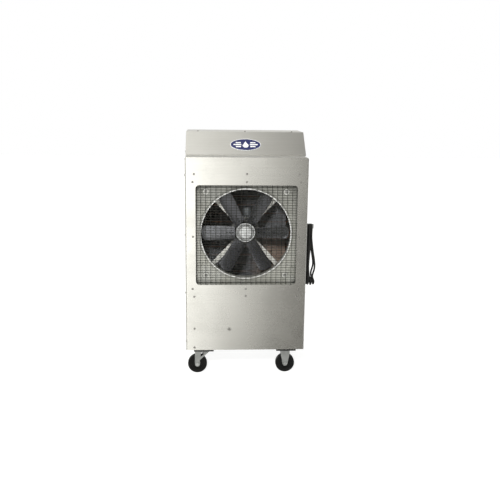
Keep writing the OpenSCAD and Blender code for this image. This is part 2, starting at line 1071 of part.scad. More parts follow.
module filter_media() color("#dfe0dc") {
    w = 2 * (filter_half_w - 20) - 0.6;
    h = filter_h - 40.6;
    t = 1.5;
    low = filter_y + 3;
    high = filter_y + filter_t - 5;
    step = w / pleats;
    crest = [for (i = [0 : pleats]) [-w / 2 + i * step, i % 2 == 0 ? low : high]];
    back = [for (i = [pleats : -1 : 0]) [crest[i].x, crest[i].y + t]];
    translate([0, 0, filter_z + 20.3])
        linear_extrude(h)
            polygon(concat(crest, back));
}

// ---- Controls ----

module on_controls(p) {
    translate([half_w, control_y + p.x, control_z + p.y])
        children();
}

module control_box() color("#2e2f31") {
    w = control_size.x;
    h = control_size.y;
    difference() {
        union() {
            solid_x(half_w + 0.1, 2)
                translate([control_y, control_z])
                    rounded_rect(w, h, 6);
            difference() {
                translate([half_w - 46, control_y - w / 2 + 12, control_z - h / 2 + 12])
                    cube([46.5, w - 24, h - 24]);
                translate([half_w - 44, control_y - w / 2 + 14, control_z - h / 2 + 14])
                    cube([44, w - 28, h - 28]);
            }
            on_controls(switch_at)
                translate([-16, -rocker_w / 2 - 3, -19])
                    cube([17, rocker_w + 6, 38]);
        }
        on_controls(switch_at) {
            translate([-17, -rocker_w / 2 - 0.5, -17])
                cube([21, rocker_w + 1, 34]);
            translate([-rocker_back, -rocker_w / 2 - 2.2, 0])
                rod_y(trunnion_r + 0.1, rocker_w + 4.4);
        }
        on_controls(knob_at)
            translate([-2, 0, 0])
                rod_x(3.1, 6);
        on_controls(lamp_at)
            translate([-2, 0, 0])
                rod_x(5.1, 6);
    }
}

// A rocker on two trunnions just behind the plate, with a dished face
module power_switch() color("#17181a") {
    on_controls(switch_at)
        translate([-rocker_back, 0, 0])
            rotate([0, rocker_tilt, 0]) {
                translate([0, -rocker_w / 2, 0])
                    rotate([-90, 0, 0])
                        linear_extrude(rocker_w)
                            difference() {
                                intersection() {
                                    circle(rocker_r);
                                    translate([-trunnion_r - 1, -rocker_r])
                                        square([2 * rocker_r, 2 * rocker_r]);
                                }
                                translate([52, 0])
                                    circle(40, $fn = 128);
                            }
                translate([0, -rocker_w / 2 - 2, 0])
                    rod_y(trunnion_r, rocker_w + 4);
            }
}

module humidistat_knob() color("#1c1d1f") {
    on_controls(knob_at) {
        translate([-10, 0, 0])
            rod_x(3, 20);
        translate([3, 0, 0])
            rod_x(knob_r, 5);
        translate([7.5, 0, 0])
            rod_x(knob_r - 4, 9);
        translate([16, -2.5, -knob_r + 5])
            cube([3, 5, 2 * (knob_r - 5)]);
    }
}

module indicator_lamp() color("#c8342a") {
    on_controls(lamp_at) {
        translate([-8, 0, 0])
            rod_x(5, 12);
        translate([2.2, 0, 0])
            rod_x(6.5, 3);
    }
}

// ---- Cord ----

// A long loop that hangs in the Y-Z plane
module cord_loop(h) {
    bend = cord_loop_w / 2;
    straight = h - 2 * (bend + cord_r);
    for (s = [-1, 1])
        translate([0, s * bend, -straight / 2])
            cylinder(r = cord_r, h = straight);
    for (s = [-1, 1])
        scale([1, 1, s])
            translate([0, 0, straight / 2])
                rotate([0, 0, 90])
                    half_ring(bend, cord_r);
}

module power_cord() color("#121213") {
    h = cord_top_z - cord_bottom_z;
    for (i = [0 : cord_loops - 1])
        translate([cord_x + i * cord_step, cord_y, cord_top_z - h / 2])
            cord_loop(h);
    translate([cord_x + cord_loops * cord_step + 0.5, cord_y, cord_top_z])
        rotate([0, -4.5, 0])
            translate([0, 0, -h / 2])
                cord_loop(h - 2);
    pipe([
        [half_w + 18, grip_at.x, grip_at.y],
        [half_w + 30, grip_at.x - 20, grip_at.y - 14],
        [half_w + 14, cord_y + 62, cord_top_z + 20],
        [cord_x, cord_y + cord_loop_w / 2 + 2 * cord_r + 2, cord_top_z - cord_loop_w / 2]
    ], cord_r);
}

module power_plug() color("#19191a") {
    translate([half_w + 20, cord_y + 4, cord_bottom_z + 33]) {
        cylinder(r = 15, h = 34);
        translate([0, 0, 34])
            cylinder(r1 = 12, r2 = 6, h = 22);
        for (s = [-1, 1])
            translate([-3, s * 6.35 - 0.8, -15])
                cube([6, 1.6, 16]);
        translate([7, 0, -17])
            cylinder(r = 2.4, h = 18);
    }
}

module cord_hook() color("#a8a9a6") {
    hook_z = cord_top_z - 2 * cord_r - 6;
    hook_x = cord_x + cord_loops * cord_step + 13;
    translate([half_w + 0.1, cord_y - 15, hook_z - 26])
        cube([2.5, 30, 56]);
    pipe([
        [half_w + 2, cord_y, hook_z],
        [hook_x, cord_y, hook_z],
        [hook_x, cord_y, hook_z + 20]
    ], 4);
}

module cord_grip() color("#1a1a1b") {
    translate([half_w, grip_at.x, grip_at.y])
        difference() {
            union() {
                translate([0.1, 0, 0])
                    rotate([0, 90, 0])
                        hex_head(13, 6);
                translate([6, 0, 0])
                    rod_x(10, 9);
                translate([-10, 0, 0])
                    rod_x(9, 11);
            }
            translate([-11, 0, 0])
                rod_x(5.5, 40);
        }
}

// ---- Casters ----

module caster_plate(x, y) {
    translate([x, y, -plate_size.z])
        difference() {
            translate([-plate_size.x / 2, -plate_size.y / 2, 0])
                cube(plate_size);
            for (px = [-1, 1], py = [-1, 1])
                translate([px * plate_hole.x, py * plate_hole.y, -1])
                    cylinder(r = bolt_r + 0.2, h = 10);
        }
}

// Top plates of the two swivel casters, each with its raceway and king pin
module swivel_plates() color("#b4b6b5") {
    for (sy = [-1, 1]) {
        caster_plate(king_x, sy * caster_y);
        translate([king_x, sy * caster_y, 0]) {
            translate([0, 0, -6])
                cylinder(r = 26, h = 4);
            translate([0, 0, crown_z - 5])
                cylinder(r = 6, h = -crown_z + 4);
            translate([0, 0, crown_z - 5])
                hex_head(9.5, 4.7);
        }
    }
}

// Round-ended leg over the axle, with an open brace up to the crown
module swivel_leg() {
    brace_x = -trail + swivel_leg_r - 1;
    difference() {
        union() {
            translate([-trail, axle_z])
                circle(swivel_leg_r);
            translate([-trail - swivel_leg_r, axle_z])
                square([2 * swivel_leg_r, crown_z + 3 - axle_z]);
            polygon([
                [brace_x, axle_z + 22],
                [26, crown_z + 1],
                [26, crown_z + 3],
                [brace_x, crown_z + 3]
            ]);
        }
        polygon([
            [brace_x + 5, axle_z + 40],
            [6, crown_z - 5],
            [brace_x + 5, crown_z - 5]
        ]);
        translate([-trail, axle_z])
            circle(axle_r + 0.05);
    }
}

module swivel_fork(y) {
    translate([king_x, y, 0])
        difference() {
            union() {
                for (s = [-1, 1])
                    solid_y(s > 0 ? leg_y : -leg_y - leg_t, leg_t)
                        swivel_leg();
                translate([-trail - swivel_leg_r, -leg_y - leg_t, crown_z])
                    cube([trail + swivel_leg_r, 2 * (leg_y + leg_t), 3]);
                translate([0, 0, crown_z])
                    cylinder(r = 29, h = 3);
                translate([0, 0, crown_z + 2])
                    cylinder(r = 27, h = 4.8);
            }
            translate([0, 0, crown_z - 5])
                cylinder(r = 6.05, h = 20);
        }
}

module swivel_fork_front() color("#a3a6a5") swivel_fork(-caster_y);

module swivel_fork_rear() color("#a3a6a5") swivel_fork(caster_y);

module rigid_leg() {
    difference() {
        union() {
            translate([0, axle_z])
                circle(rigid_leg_r);
            polygon([
                [-24, -2],
                [-24, -26],
                [-rigid_leg_r + 1, axle_z - 5],
                [rigid_leg_r - 1, axle_z - 5],
                [24, -26],
                [24, -2]
            ]);
        }
        translate([0, axle_z])
            circle(axle_r + 0.05);
    }
}

module rigid_forks() color("#9a9d9c") {
    for (sy = [-1, 1]) {
        caster_plate(caster_x, sy * caster_y);
        translate([caster_x, sy * caster_y, 0])
            for (s = [-1, 1])
                solid_y(s > 0 ? leg_y : -leg_y - leg_t, leg_t)
                    rigid_leg();
    }
}

module axle(x, y) {
    reach = leg_y + leg_t;
    translate([x, y - reach - 5.5, axle_z])
        rod_y(axle_r, 2 * reach + 14);
    translate([x, y - reach - 5.6, axle_z])
        rotate([-90, 0, 0])
            hex_head(8.5, 5.5);
    translate([x, y + reach + 0.1, axle_z])
        rotate([-90, 0, 0])
            hex_head(8.5, 7);
}

module swivel_axle_front() color("#8e9090") axle(king_x - trail, -caster_y);

module swivel_axle_rear() color("#8e9090") axle(king_x - trail, caster_y);

module rigid_axles() color("#8e9090") {
    for (sy = [-1, 1])
        axle(caster_x, sy * caster_y);
}

module caster_bolts() color("#6d6f70") {
    at_caster_bolts() {
        translate([0, 0, -plate_size.z - 5.1])
            hex_head(7, 5);
        translate([0, 0, -plate_size.z - 1])
            cylinder(r = bolt_r, h = plate_size.z + rail_t + 12);
        translate([0, 0, rail_t + 2.1])
            hex_head(7, 6.5);
    }
}

module wheel(x, y) {
    translate([x, y, axle_z])
        rotate([90, 0, 0])
            rotate_extrude($fn = 128)
                difference() {
                    union() {
                        translate([wheel_r - 8, 0])
                            rounded_rect(16, wheel_w, 6);
                        translate([wheel_r - 15, 0])
                            square([9, wheel_w - 4], center = true);
                        translate([10, -7])
                            square([wheel_r - 22, 14]);
                        translate([axle_r, -leg_y + 0.4])
                            square([10, 2 * leg_y - 0.8]);
                    }
                    translate([0, -wheel_w])
                        square([axle_r + 0.05, 2 * wheel_w]);
                }
}

module wheel_front_left() color("#141415") wheel(king_x - trail, -caster_y);

module wheel_rear_left() color("#141415") wheel(king_x - trail, caster_y);

module wheel_front_right() color("#141415") wheel(caster_x, -caster_y);

module wheel_rear_right() color("#141415") wheel(caster_x, caster_y);

front_panel();
left_side_panel();
right_side_panel();
rear_panel();
top_deck();
top_hood();
base_pan();
cabinet_frame();
mid_shelf();
base_rails();
panel_screws();
badge();
wire_guard();
fan_panel();
motor_mount();
mount_bolts();
motor_shell();
motor_stator();
motor_bearings();
motor_capacitor();
fan_shaft();
motor_rotor();
fan_hub();
fan_blades();
blade_rivets();
evaporator_core();
evaporator_tubes();
condenser_core();
condenser_tubes();
compressor();
compressor_feet();
refrigerant_lines();
filter_drier();
drip_tray();
drain_hose();
drain_outlet();
filter_rails();
filter_frame();
filter_media();
control_box();
power_switch();
humidistat_knob();
indicator_lamp();
power_cord();
power_plug();
cord_hook();
cord_grip();
swivel_plates();
swivel_fork_front();
swivel_fork_rear();
swivel_axle_front();
swivel_axle_rear();
rigid_forks();
rigid_axles();
caster_bolts();
wheel_front_left();
wheel_rear_left();
wheel_front_right();
wheel_rear_right();
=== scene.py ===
"""Looks for a tall stainless dehumidifier on casters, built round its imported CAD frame. In metres."""
import math
import random

import bmesh
import bpy
from mathutils import Matrix, Vector


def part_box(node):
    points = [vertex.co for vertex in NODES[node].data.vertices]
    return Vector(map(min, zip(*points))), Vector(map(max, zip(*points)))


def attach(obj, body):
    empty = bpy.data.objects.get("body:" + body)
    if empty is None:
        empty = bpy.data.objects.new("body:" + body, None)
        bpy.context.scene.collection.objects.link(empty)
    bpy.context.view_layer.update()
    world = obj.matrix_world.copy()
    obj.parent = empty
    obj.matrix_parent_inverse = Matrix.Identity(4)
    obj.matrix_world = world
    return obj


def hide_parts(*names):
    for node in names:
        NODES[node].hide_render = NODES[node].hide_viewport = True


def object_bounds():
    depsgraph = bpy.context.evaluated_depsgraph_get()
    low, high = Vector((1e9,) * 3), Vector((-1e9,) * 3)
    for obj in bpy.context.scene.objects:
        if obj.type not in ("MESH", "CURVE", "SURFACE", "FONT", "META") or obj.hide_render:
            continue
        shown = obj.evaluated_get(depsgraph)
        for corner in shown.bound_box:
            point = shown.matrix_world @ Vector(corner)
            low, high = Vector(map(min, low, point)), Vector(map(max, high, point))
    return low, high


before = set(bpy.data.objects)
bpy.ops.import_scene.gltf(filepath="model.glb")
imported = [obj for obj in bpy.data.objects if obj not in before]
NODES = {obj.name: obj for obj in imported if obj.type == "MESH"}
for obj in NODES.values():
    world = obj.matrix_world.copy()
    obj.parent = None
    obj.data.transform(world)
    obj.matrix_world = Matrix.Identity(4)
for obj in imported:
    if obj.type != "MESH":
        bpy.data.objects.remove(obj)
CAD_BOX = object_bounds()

TAU = 2 * math.pi
MM = 0.001

# Places that several pieces share, all taken from the frame
PANEL_LO, PANEL_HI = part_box("front_panel")
GUARD_LO, GUARD_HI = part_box("wire_guard")
FRONT_Y = PANEL_LO.y
HALF_W = PANEL_HI.x
BOTTOM_Z = PANEL_LO.z
AXIS_Z = (GUARD_LO.z + GUARD_HI.z) / 2
FLOOR_Z = CAD_BOX[0].z


# ---------------------------------------------------------------- node trees

class Graph:
    """A node tree under construction"""

    def __init__(self, tree):
        self.tree = tree

    def add(self, kind, **settings):
        node = self.tree.nodes.new(kind)
        for key, value in settings.items():
            setattr(node, key, value)
        return node

    def plug(self, socket, value):
        if isinstance(value, bpy.types.NodeSocket):
            self.tree.links.new(value, socket)
        elif isinstance(value, (tuple, list)) and len(value) == 3 and socket.type == "RGBA":
            socket.default_value = (*value, 1)
        else:
            socket.default_value = value

    def node(self, kind, inputs, **settings):
        """A node with its inputs plugged, each by its name or its number"""
        node = self.add(kind, **settings)
        for key, value in inputs.items():
            self.plug(node.inputs[key], value)
        return node

    def math(self, operation, *values):
        return self.node("ShaderNodeMath", dict(enumerate(values)), operation=operation).outputs[0]

    def range(self, value, low, high, to_low=0.0, to_high=1.0, interpolation="LINEAR"):
        """The value, carried from one range into another and held at its ends"""
        inputs = {"Value": value, "From Min": low, "From Max": high, "To Min": to_low, "To Max": to_high}
        node = self.node("ShaderNodeMapRange", inputs, interpolation_type=interpolation)
        return node.outputs["Result"]

    def mix(self, factor, a, b):
        node = self.node("ShaderNodeMix", {"Factor": factor}, data_type="RGBA")
        self.plug(node.inputs["A"], a)
        self.plug(node.inputs["B"], b)
        return node.outputs["Result"]

    def axes(self, vector):
        return self.node("ShaderNodeSeparateXYZ", {"Vector": vector}).outputs


class Look(Graph):
    """A procedural material. Its textures are laid out in object space, in metres."""

    def __init__(self, start):
        """Begin a material of this name, or go on with one that exists"""
        if isinstance(start, str):
            start = bpy.data.materials.new(start)
            start.use_nodes = True
        self.material = start
        super().__init__(start.node_tree)
        self.bsdf = self.tree.nodes["Principled BSDF"]
        self.place = self.add("ShaderNodeTexCoord").outputs["Object"]

    def set(self, **values):
        for key, value in values.items():
            self.plug(self.bsdf.inputs[key.replace("_", " ")], value)
        return self.material

    def position(self):
        """The place in the whole machine's frame"""
        return self.add("ShaderNodeNewGeometry").outputs["Position"]

    def distance(self, point, centre):
        return self.node("ShaderNodeVectorMath", {0: point, 1: centre}, operation="DISTANCE").outputs["Value"]

    def noise(self, scale, detail, rough, stretch=None):
        place = self.place
        if stretch:
            place = self.node("ShaderNodeMapping", {"Scale": stretch, "Vector": place}).outputs["Vector"]
        inputs = {"Vector": place, "Scale": scale, "Detail": detail, "Roughness": rough}
        return self.node("ShaderNodeTexNoise", inputs).outputs["Fac"]

    def patches(self, scale):
        """Noise laid out over the piece's own box"""
        return self.node("ShaderNodeTexNoise", {"Scale": scale}).outputs["Fac"]

    def cells(self, scale, output="Color"):
        return self.node("ShaderNodeTexVoronoi", {"Vector": self.place, "Scale": scale}).outputs[output]

    def bump(self, height, depth, strength=1.0, after=None):
        node = self.node("ShaderNodeBump", {"Distance": depth, "Strength": strength, "Height": height})
        if after is not None:
            self.plug(node.inputs["Normal"], after)
        return node.outputs["Normal"]

    def worn_edges(self, size):
        """1 on convex edges, 0 elsewhere, from the angle between the true and a rounded normal"""
        bevel = self.node("ShaderNodeBevel", {"Radius": size}, samples=4)
        geometry = self.add("ShaderNodeNewGeometry")
        normals = {0: bevel.outputs["Normal"], 1: geometry.outputs["Normal"]}
        dot = self.node("ShaderNodeVectorMath", normals, operation="DOT_PRODUCT")
        return self.range(dot.outputs["Value"], 0.99, 0.75)

    def grime_and_shade(self, amount, colour):
        """Mix a colour of painted shade into the tone that the material has so far"""
        tone = self.bsdf.inputs["Base Color"]
        self.plug(tone, self.mix(amount, tone.links[0].from_socket, colour))
        return self.material


# ---------------------------------------------------------------- metals

def shade(colour, factor):
    return tuple(c * factor for c in colour)


def brushed_steel(name, colour, grain, across, rough=0.25, scuff=None):
    """Sheet with a fine grain along one axis, highlights drawn out across it, faint waves and smears"""
    look = Look(name)
    along = [1.0 if i == grain else 90.0 for i in range(3)]
    fine = look.noise(14, 4, 0.7, stretch=along)
    streaks = look.noise(3.2, 3, 0.6, stretch=along)
    bands = look.noise(0.5, 2, 0.5, stretch=[s if s == 1.0 else 24.0 for s in along])
    smears = look.noise(5.5, 4, 0.62)
    waves = look.noise(2.6, 1, 0.4)
    tone = look.mix(look.range(streaks, 0.3, 0.7), shade(colour, 0.955), shade(colour, 1.03))
    tone = look.mix(look.range(bands, 0.35, 0.65, 0, 0.35), tone, shade(colour, 0.94))
    tone = look.mix(look.range(smears, 0.5, 0.75, 0, 0.12), tone, (0.50, 0.48, 0.42))
    if scuff:
        away = look.distance(look.position(), scuff)
        ragged = look.math("ADD", away, look.range(look.noise(160, 4, 0.7), 0.3, 0.7, 0, 0.012))
        tone = look.mix(look.range(ragged, 0.008, 0.019, 0.8, 0), tone, (0.10, 0.095, 0.09))
    tangent = look.node("ShaderNodeVectorTransform", {"Vector": across},
                        vector_type="VECTOR", convert_from="OBJECT", convert_to="WORLD")
    roughness = look.range(fine, 0.25, 0.75, rough - 0.025, rough + 0.025)
    roughness = look.math("ADD", roughness, look.range(smears, 0.4, 0.8, 0, 0.06))
    normal = look.bump(fine, 0.00002, 0.35, after=look.bump(waves, 0.0016))
    return look.set(Base_Color=tone, Metallic=1.0, Roughness=roughness, Anisotropic=0.7,
                    Tangent=tangent.outputs["Vector"], Normal=normal)


def galvanised(name, colour, rough=0.42, spangle=70, metallic=0.85):
    """Zinc-coated sheet: spangle cells of slightly different tone and gloss, with white bloom"""
    look = Look(name)
    cell = look.node("ShaderNodeSeparateColor", {"Color": look.cells(spangle)})
    bloom = look.noise(9, 4, 0.6)
    tone = look.mix(cell.outputs["Red"], shade(colour, 0.86), shade(colour, 1.1))
    tone = look.mix(look.range(bloom, 0.48, 0.72, 0, 0.5), tone, (0.66, 0.67, 0.65))
    roughness = look.range(cell.outputs["Green"], 0, 1, rough - 0.08, rough + 0.1)
    normal = look.bump(look.cells(spangle, "Distance"), 0.00012, 0.5)
    return look.set(Base_Color=tone, Metallic=metallic, Roughness=roughness, Normal=normal)


def plated(name, colour, rough=0.34, metallic=0.95):
    """Zinc plating on small parts: cloudy tone, fine pitting and brighter rubbed edges"""
    look = Look(name)
    cloud = look.noise(45, 4, 0.6)
    pits = look.noise(900, 2, 0.5)
    tone = look.mix(look.range(cloud, 0.3, 0.7), shade(colour, 0.78), shade(colour, 1.1))
    tone = look.mix(look.worn_edges(0.0012), tone, shade(colour, 1.35))
    roughness = look.range(cloud, 0.3, 0.7, rough - 0.06, rough + 0.1)
    normal = look.bump(pits, 0.00004, 0.5)
    return look.set(Base_Color=tone, Metallic=metallic, Roughness=roughness, Normal=normal)


def bare_aluminium(name, colour, rough, grime_and_shade=0.25, soil_tone=(0.16, 0.15, 0.13)):
    """Mill-finish aluminium: rolling lines, oxide clouds and grime"""
    look = Look(name)
    rolled = look.noise(20, 3, 0.6, stretch=(1, 30, 30))
    cloud = look.noise(16, 5, 0.65)
    tone = look.mix(look.range(rolled, 0.3, 0.7), shade(colour, 0.9), shade(colour, 1.08))
    tone = look.mix(look.range(cloud, 0.45, 0.75, 0, grime_and_shade), tone, soil_tone)
    roughness = look.range(cloud, 0.3, 0.75, rough - 0.07, rough + 0.15)
    normal = look.bump(rolled, 0.00005, 0.5)
    return look.set(Base_Color=tone, Metallic=0.9, Roughness=roughness, Normal=normal)


def dusty_fins(name):
    """Dark aluminium fins with grey-brown dust on them, thicker to the right and towards the bottom"""
    look = Look(name)
    where = look.axes(look.position())
    cloud = look.noise(13, 5, 0.7)
    lint = look.noise(240, 4, 0.7)
    spread = look.math("ADD", where["X"], look.range(where["Z"], AXIS_Z - 0.16, AXIS_Z + 0.06, 0.3, 0.0))
    spread = look.math("ADD", spread, look.range(cloud, 0.3, 0.7, -0.05, 0.05))
    dusted = look.range(spread, -0.04, 0.10, 0.05, 0.95)
    low = look.range(where["Z"], AXIS_Z - 0.14, AXIS_Z - 0.02, 1, 0)
    right = look.range(where["X"], 0.03, 0.14)
    dust = look.mix(look.math("MULTIPLY", low, right), (0.42, 0.43, 0.46), (0.80, 0.62, 0.50))
    dust = look.mix(look.range(lint, 0.3, 0.7, 0, 0.5), dust, shade(STEEL, 0.3))
    return look.set(Base_Color=look.mix(dusted, (0.12, 0.115, 0.115), dust),
                    Metallic=look.range(dusted, 0, 1, 0.9, 0.0),
                    Roughness=look.range(cloud, 0.3, 0.7, 0.5, 0.7), Normal=look.bump(lint, 0.0002, 0.5))


def copper(name, clean=1.0):
    """Soft copper tube: bright metal going to brown tarnish, with a few green specks"""
    look = Look(name)
    tarnish = look.noise(24, 5, 0.65)
    specks = look.noise(160, 4, 0.6)
    bright, brown = shade((0.72, 0.34, 0.18), clean), shade((0.26, 0.12, 0.065), clean)
    tone = look.mix(look.range(tarnish, 0.35, 0.68), bright, brown)
    tone = look.mix(look.range(specks, 0.66, 0.74, 0, 0.6), tone, (0.16, 0.27, 0.20))
    return look.set(Base_Color=tone, Metallic=0.9, Roughness=look.range(tarnish, 0.3, 0.7, 0.26, 0.5),
                    Normal=look.bump(tarnish, 0.0001, 0.4))


# ---------------------------------------------------------------- paint, rubber, plastic and fibre

def painted(name, colour, rough=0.38, wear=0.4, dusty=0.22):
    """Sprayed paint: orange peel, dust in the broad tone, and edges rubbed towards bare metal"""
    look = Look(name)
    peel = look.noise(420, 2, 0.5)
    dust = look.noise(14, 5, 0.65)
    tone = look.mix(look.range(dust, 0.45, 0.8, 0, dusty), colour, (0.30, 0.28, 0.25))
    rubbed = look.range(look.noise(60, 4, 0.7), 0.45, 0.65, 0, wear)
    edge = look.math("MULTIPLY", look.worn_edges(0.0015), rubbed)
    return look.set(Base_Color=look.mix(edge, tone, (0.30, 0.29, 0.28)),
                    Roughness=look.range(dust, 0.3, 0.8, rough, rough + 0.18),
                    Normal=look.bump(peel, 0.00008, 0.6), Coat_Weight=0.15, Coat_Roughness=0.2)


def rubber(name, colour, rough=0.62, dust=0.3):
    """Moulded rubber: fine pores and chalky dust"""
    look = Look(name)
    pores = look.noise(1500, 2, 0.5)
    cloud = look.noise(38, 5, 0.65)
    tone = look.mix(look.range(cloud, 0.42, 0.78, 0, dust), colour, (0.20, 0.19, 0.17))
    normal = look.bump(pores, 0.00006, 0.7, after=look.bump(cloud, 0.0002, 0.4))
    return look.set(Base_Color=tone, Roughness=look.range(cloud, 0.3, 0.7, rough - 0.1, rough + 0.15),
                    Normal=normal, Specular_IOR_Level=0.2)


def moulded(name, colour, rough=0.42):
    """Injection-moulded plastic with a fine spark-eroded texture"""
    look = Look(name)
    grain = look.cells(2600, "Distance")
    cloud = look.noise(30, 4, 0.6)
    tone = look.mix(look.range(cloud, 0.35, 0.75), shade(colour, 0.9), shade(colour, 1.25))
    return look.set(Base_Color=tone, Roughness=look.range(cloud, 0.3, 0.7, rough - 0.06, rough + 0.08),
                    Normal=look.bump(grain, 0.00005, 0.6))


def enamel(name, colour):
    """Fired gloss enamel: deep colour, slight orange peel and hairline scratches"""
    look = Look(name)
    flow = look.noise(90, 2, 0.4)
    scratch = look.noise(30, 5, 0.8, stretch=(1, 12, 60))
    tone = look.mix(look.range(flow, 0.3, 0.7), shade(colour, 0.85), shade(colour, 1.15))
    return look.set(Base_Color=tone, Roughness=look.range(scratch, 0.5, 0.8, 0.12, 0.32),
                    Normal=look.bump(flow, 0.00006, 0.5), Coat_Weight=0.35, Coat_Roughness=0.06)


def fibre(name):
    """Non-woven filter fibre: matted strands, a slight sheen, and dust gathered in patches"""
    look = Look(name)
    strands = look.noise(260, 6, 0.75, stretch=(1, 1, 3))
    dust = look.noise(11, 4, 0.6)
    tone = look.mix(look.range(strands, 0.3, 0.7), (0.60, 0.61, 0.58), (0.82, 0.82, 0.79))
    tone = look.mix(look.range(dust, 0.45, 0.75, 0, 0.45), tone, (0.38, 0.36, 0.32))
    return look.set(Base_Color=tone, Roughness=0.95, Sheen_Weight=0.3, Normal=look.bump(strands, 0.0006, 0.8))


def lens(name, colour):
    """Translucent coloured lens with a faceted inner surface"""
    look = Look(name)
    facets = look.cells(500, "Distance")
    tone = look.mix(look.range(facets, 0, 0.8), colour, shade(colour, 0.5))
    return look.set(Base_Color=tone, Roughness=0.16, Transmission_Weight=0.35, Coat_Weight=1.0,
                    Coat_Roughness=0.05, Normal=look.bump(facets, 0.0002, 0.5))


# ---------------------------------------------------------------- painted shade on top of a material

def shaded_corners(material, reach, grime_and_shade):
    """Painted shade in inside corners, darkened by ambient occlusion"""
    look = Look(material)
    open_sky = look.node("ShaderNodeAmbientOcclusion", {"Distance": reach}, samples=6).outputs["AO"]
    return look.grime_and_shade(look.range(open_sky, 0.35, 0.85, 1, 0), grime_and_shade)


def shaded_top(material):
    """Painted shade over the upper part of the fan's tray, in an uneven sweep: the shadow of the front
    panel's top edge
    """
    look = Look(material)
    height = look.math("MULTIPLY_ADD", look.patches(7), 0.12, look.axes(look.position())["Z"])
    return look.grime_and_shade(look.range(height, AXIS_Z + 0.12, AXIS_Z + 0.31, 0, 0.55), (0.10, 0.10, 0.09))


def shaded_low(material):
    """Painted shade on the blades that stand lowest while the fan rests"""
    look = Look(material)
    height = look.axes(look.place)["Z"]
    return look.grime_and_shade(look.range(height, AXIS_Z - 0.03, AXIS_Z - 0.09, 0, 0.75), (0.085, 0.085, 0.095))


def shaded_near_axis(material, near, far, grime_and_shade):
    """Painted shade that fades out between two distances from the axis's place at the guard's back, darkening
    the struts behind the fan
    """
    look = Look(material)
    away = look.distance(look.position(), (0, GUARD_HI.y, AXIS_Z))
    edge = look.math("MULTIPLY_ADD", look.patches(60), 0.03, away)
    return look.grime_and_shade(look.range(edge, near, far, 1, 0), grime_and_shade)


# ---------------------------------------------------------------- the materials

STEEL = (0.735, 0.725, 0.69)
SCUFF = (-0.083, FRONT_Y, BOTTOM_Z + 0.112)
TRAY_ZINC = galvanised("tray_zinc", (0.43, 0.43, 0.385), 0.5, 55, 0.3)
STRAP_ZINC = galvanised("strap_zinc", (0.86, 0.85, 0.79), 0.45, 90, 0.25)
HUB_PLATE = plated("hub_plate", (0.66, 0.67, 0.66), 0.3, 0.35)
BLADE_SHEET = bare_aluminium("blade_aluminium", (0.27, 0.275, 0.295), 0.25, 0.3, (0.13, 0.125, 0.12))
M = {
    "front_sheet": brushed_steel("front_sheet_steel", STEEL, 0, (0, 0, 1), scuff=SCUFF),
    "side_sheet": brushed_steel("side_sheet_steel", STEEL, 1, (0, 0, 1)),
    # The front's steel made a little darker: painted shade on the sloping hood
    "hood_sheet": brushed_steel("hood_steel_painted_shade", shade(STEEL, 0.97), 0, (0, 0.76, 0.65), rough=0.34),
    # The front's steel made a fifth darker: painted shade on the ledge under the hood
    "deck_sheet": brushed_steel("deck_steel_painted_shade", shade(STEEL, 0.8), 0, (0, 0.9, 0.3), rough=0.4),
    # Painted shade: darker in the tray's inside corners and over its upper part, where the front panel's top
    # edge casts its shadow
    "tray": shaded_corners(shaded_top(TRAY_ZINC), 0.022, (0.03, 0.03, 0.027)),
    # Near white: painted highlight along the lip of the fan's hole
    "bead": plated("bead_zinc_painted_highlight", (0.93, 0.93, 0.90), 0.35, 0.25),
    "washer": plated("washer_zinc", (0.58, 0.58, 0.54), 0.35, 0.3),
    "screw": plated("screw_zinc", (0.40, 0.39, 0.37), 0.4),
    "dark_zinc": plated("dark_zinc", (0.10, 0.10, 0.095), 0.4),
    "bolt": plated("bolt_zinc", (0.34, 0.34, 0.32), 0.42, 0.5),
    "frame": galvanised("frame_zinc", (0.50, 0.51, 0.50), 0.48),
    # Painted shade on the struts near the axis, where they pass behind the fan
    "strap": shaded_near_axis(STRAP_ZINC, 0.162, 0.20, (0.035, 0.035, 0.035)),
    # Zinc wire made near black: painted shade for the wires together with their shadows on the tray
    "wire": plated("wire_zinc_painted_dark", (0.085, 0.085, 0.075), 0.5),
    "zinc": plated("zinc_plate", (0.60, 0.61, 0.60)),
    "fork": plated("fork_zinc", (0.50, 0.51, 0.50), 0.46),
    "bright": plated("bright_steel", (0.66, 0.67, 0.68), 0.2),
    # Painted shade in the hub's groove and inside corners
    "hub": shaded_corners(HUB_PLATE, 0.014, (0.06, 0.06, 0.055)),
    # Painted shade on the blades that stand lowest
    "blade": shaded_low(BLADE_SHEET),
    "arm": plated("arm_zinc", (0.13, 0.135, 0.14), 0.4),
    "fin": dusty_fins("fin_aluminium"),
    "channel": bare_aluminium("channel_aluminium", (0.62, 0.63, 0.63), 0.36),
    "can": bare_aluminium("capacitor_can", (0.50, 0.53, 0.56), 0.45),
    "motor": painted("motor_paint", (0.055, 0.058, 0.062)),
    "rail": painted("rail_paint", (0.006, 0.006, 0.006), 0.5, 0.3, dusty=0.05),
    "compressor": painted("compressor_paint", (0.016, 0.016, 0.018), 0.25),
    "coil_tube": copper("coil_tube_copper", 0.35),
    "copper": copper("tube_copper"),
    "winding": copper("winding_copper"),
    "tyre": rubber("tyre_rubber", (0.004, 0.004, 0.004), 0.5, dust=0.03),
    "cord": rubber("cord_jacket", (0.010, 0.010, 0.010), 0.45, dust=0.1),
    "feet": rubber("feet_rubber", (0.02, 0.02, 0.02)),
    "black": moulded("black_plastic", (0.016, 0.016, 0.017)),
    "hose": moulded("hose_plastic", (0.60, 0.60, 0.56), 0.3),
    "white": enamel("white_enamel", (0.80, 0.81, 0.80)),
    "blue": enamel("blue_enamel", (0.006, 0.012, 0.085)),
    "fibre": fibre("filter_fibre"),
    "lamp": lens("lamp_lens", (0.65, 0.03, 0.02)),
}


# ---------------------------------------------------------------- mesh helpers

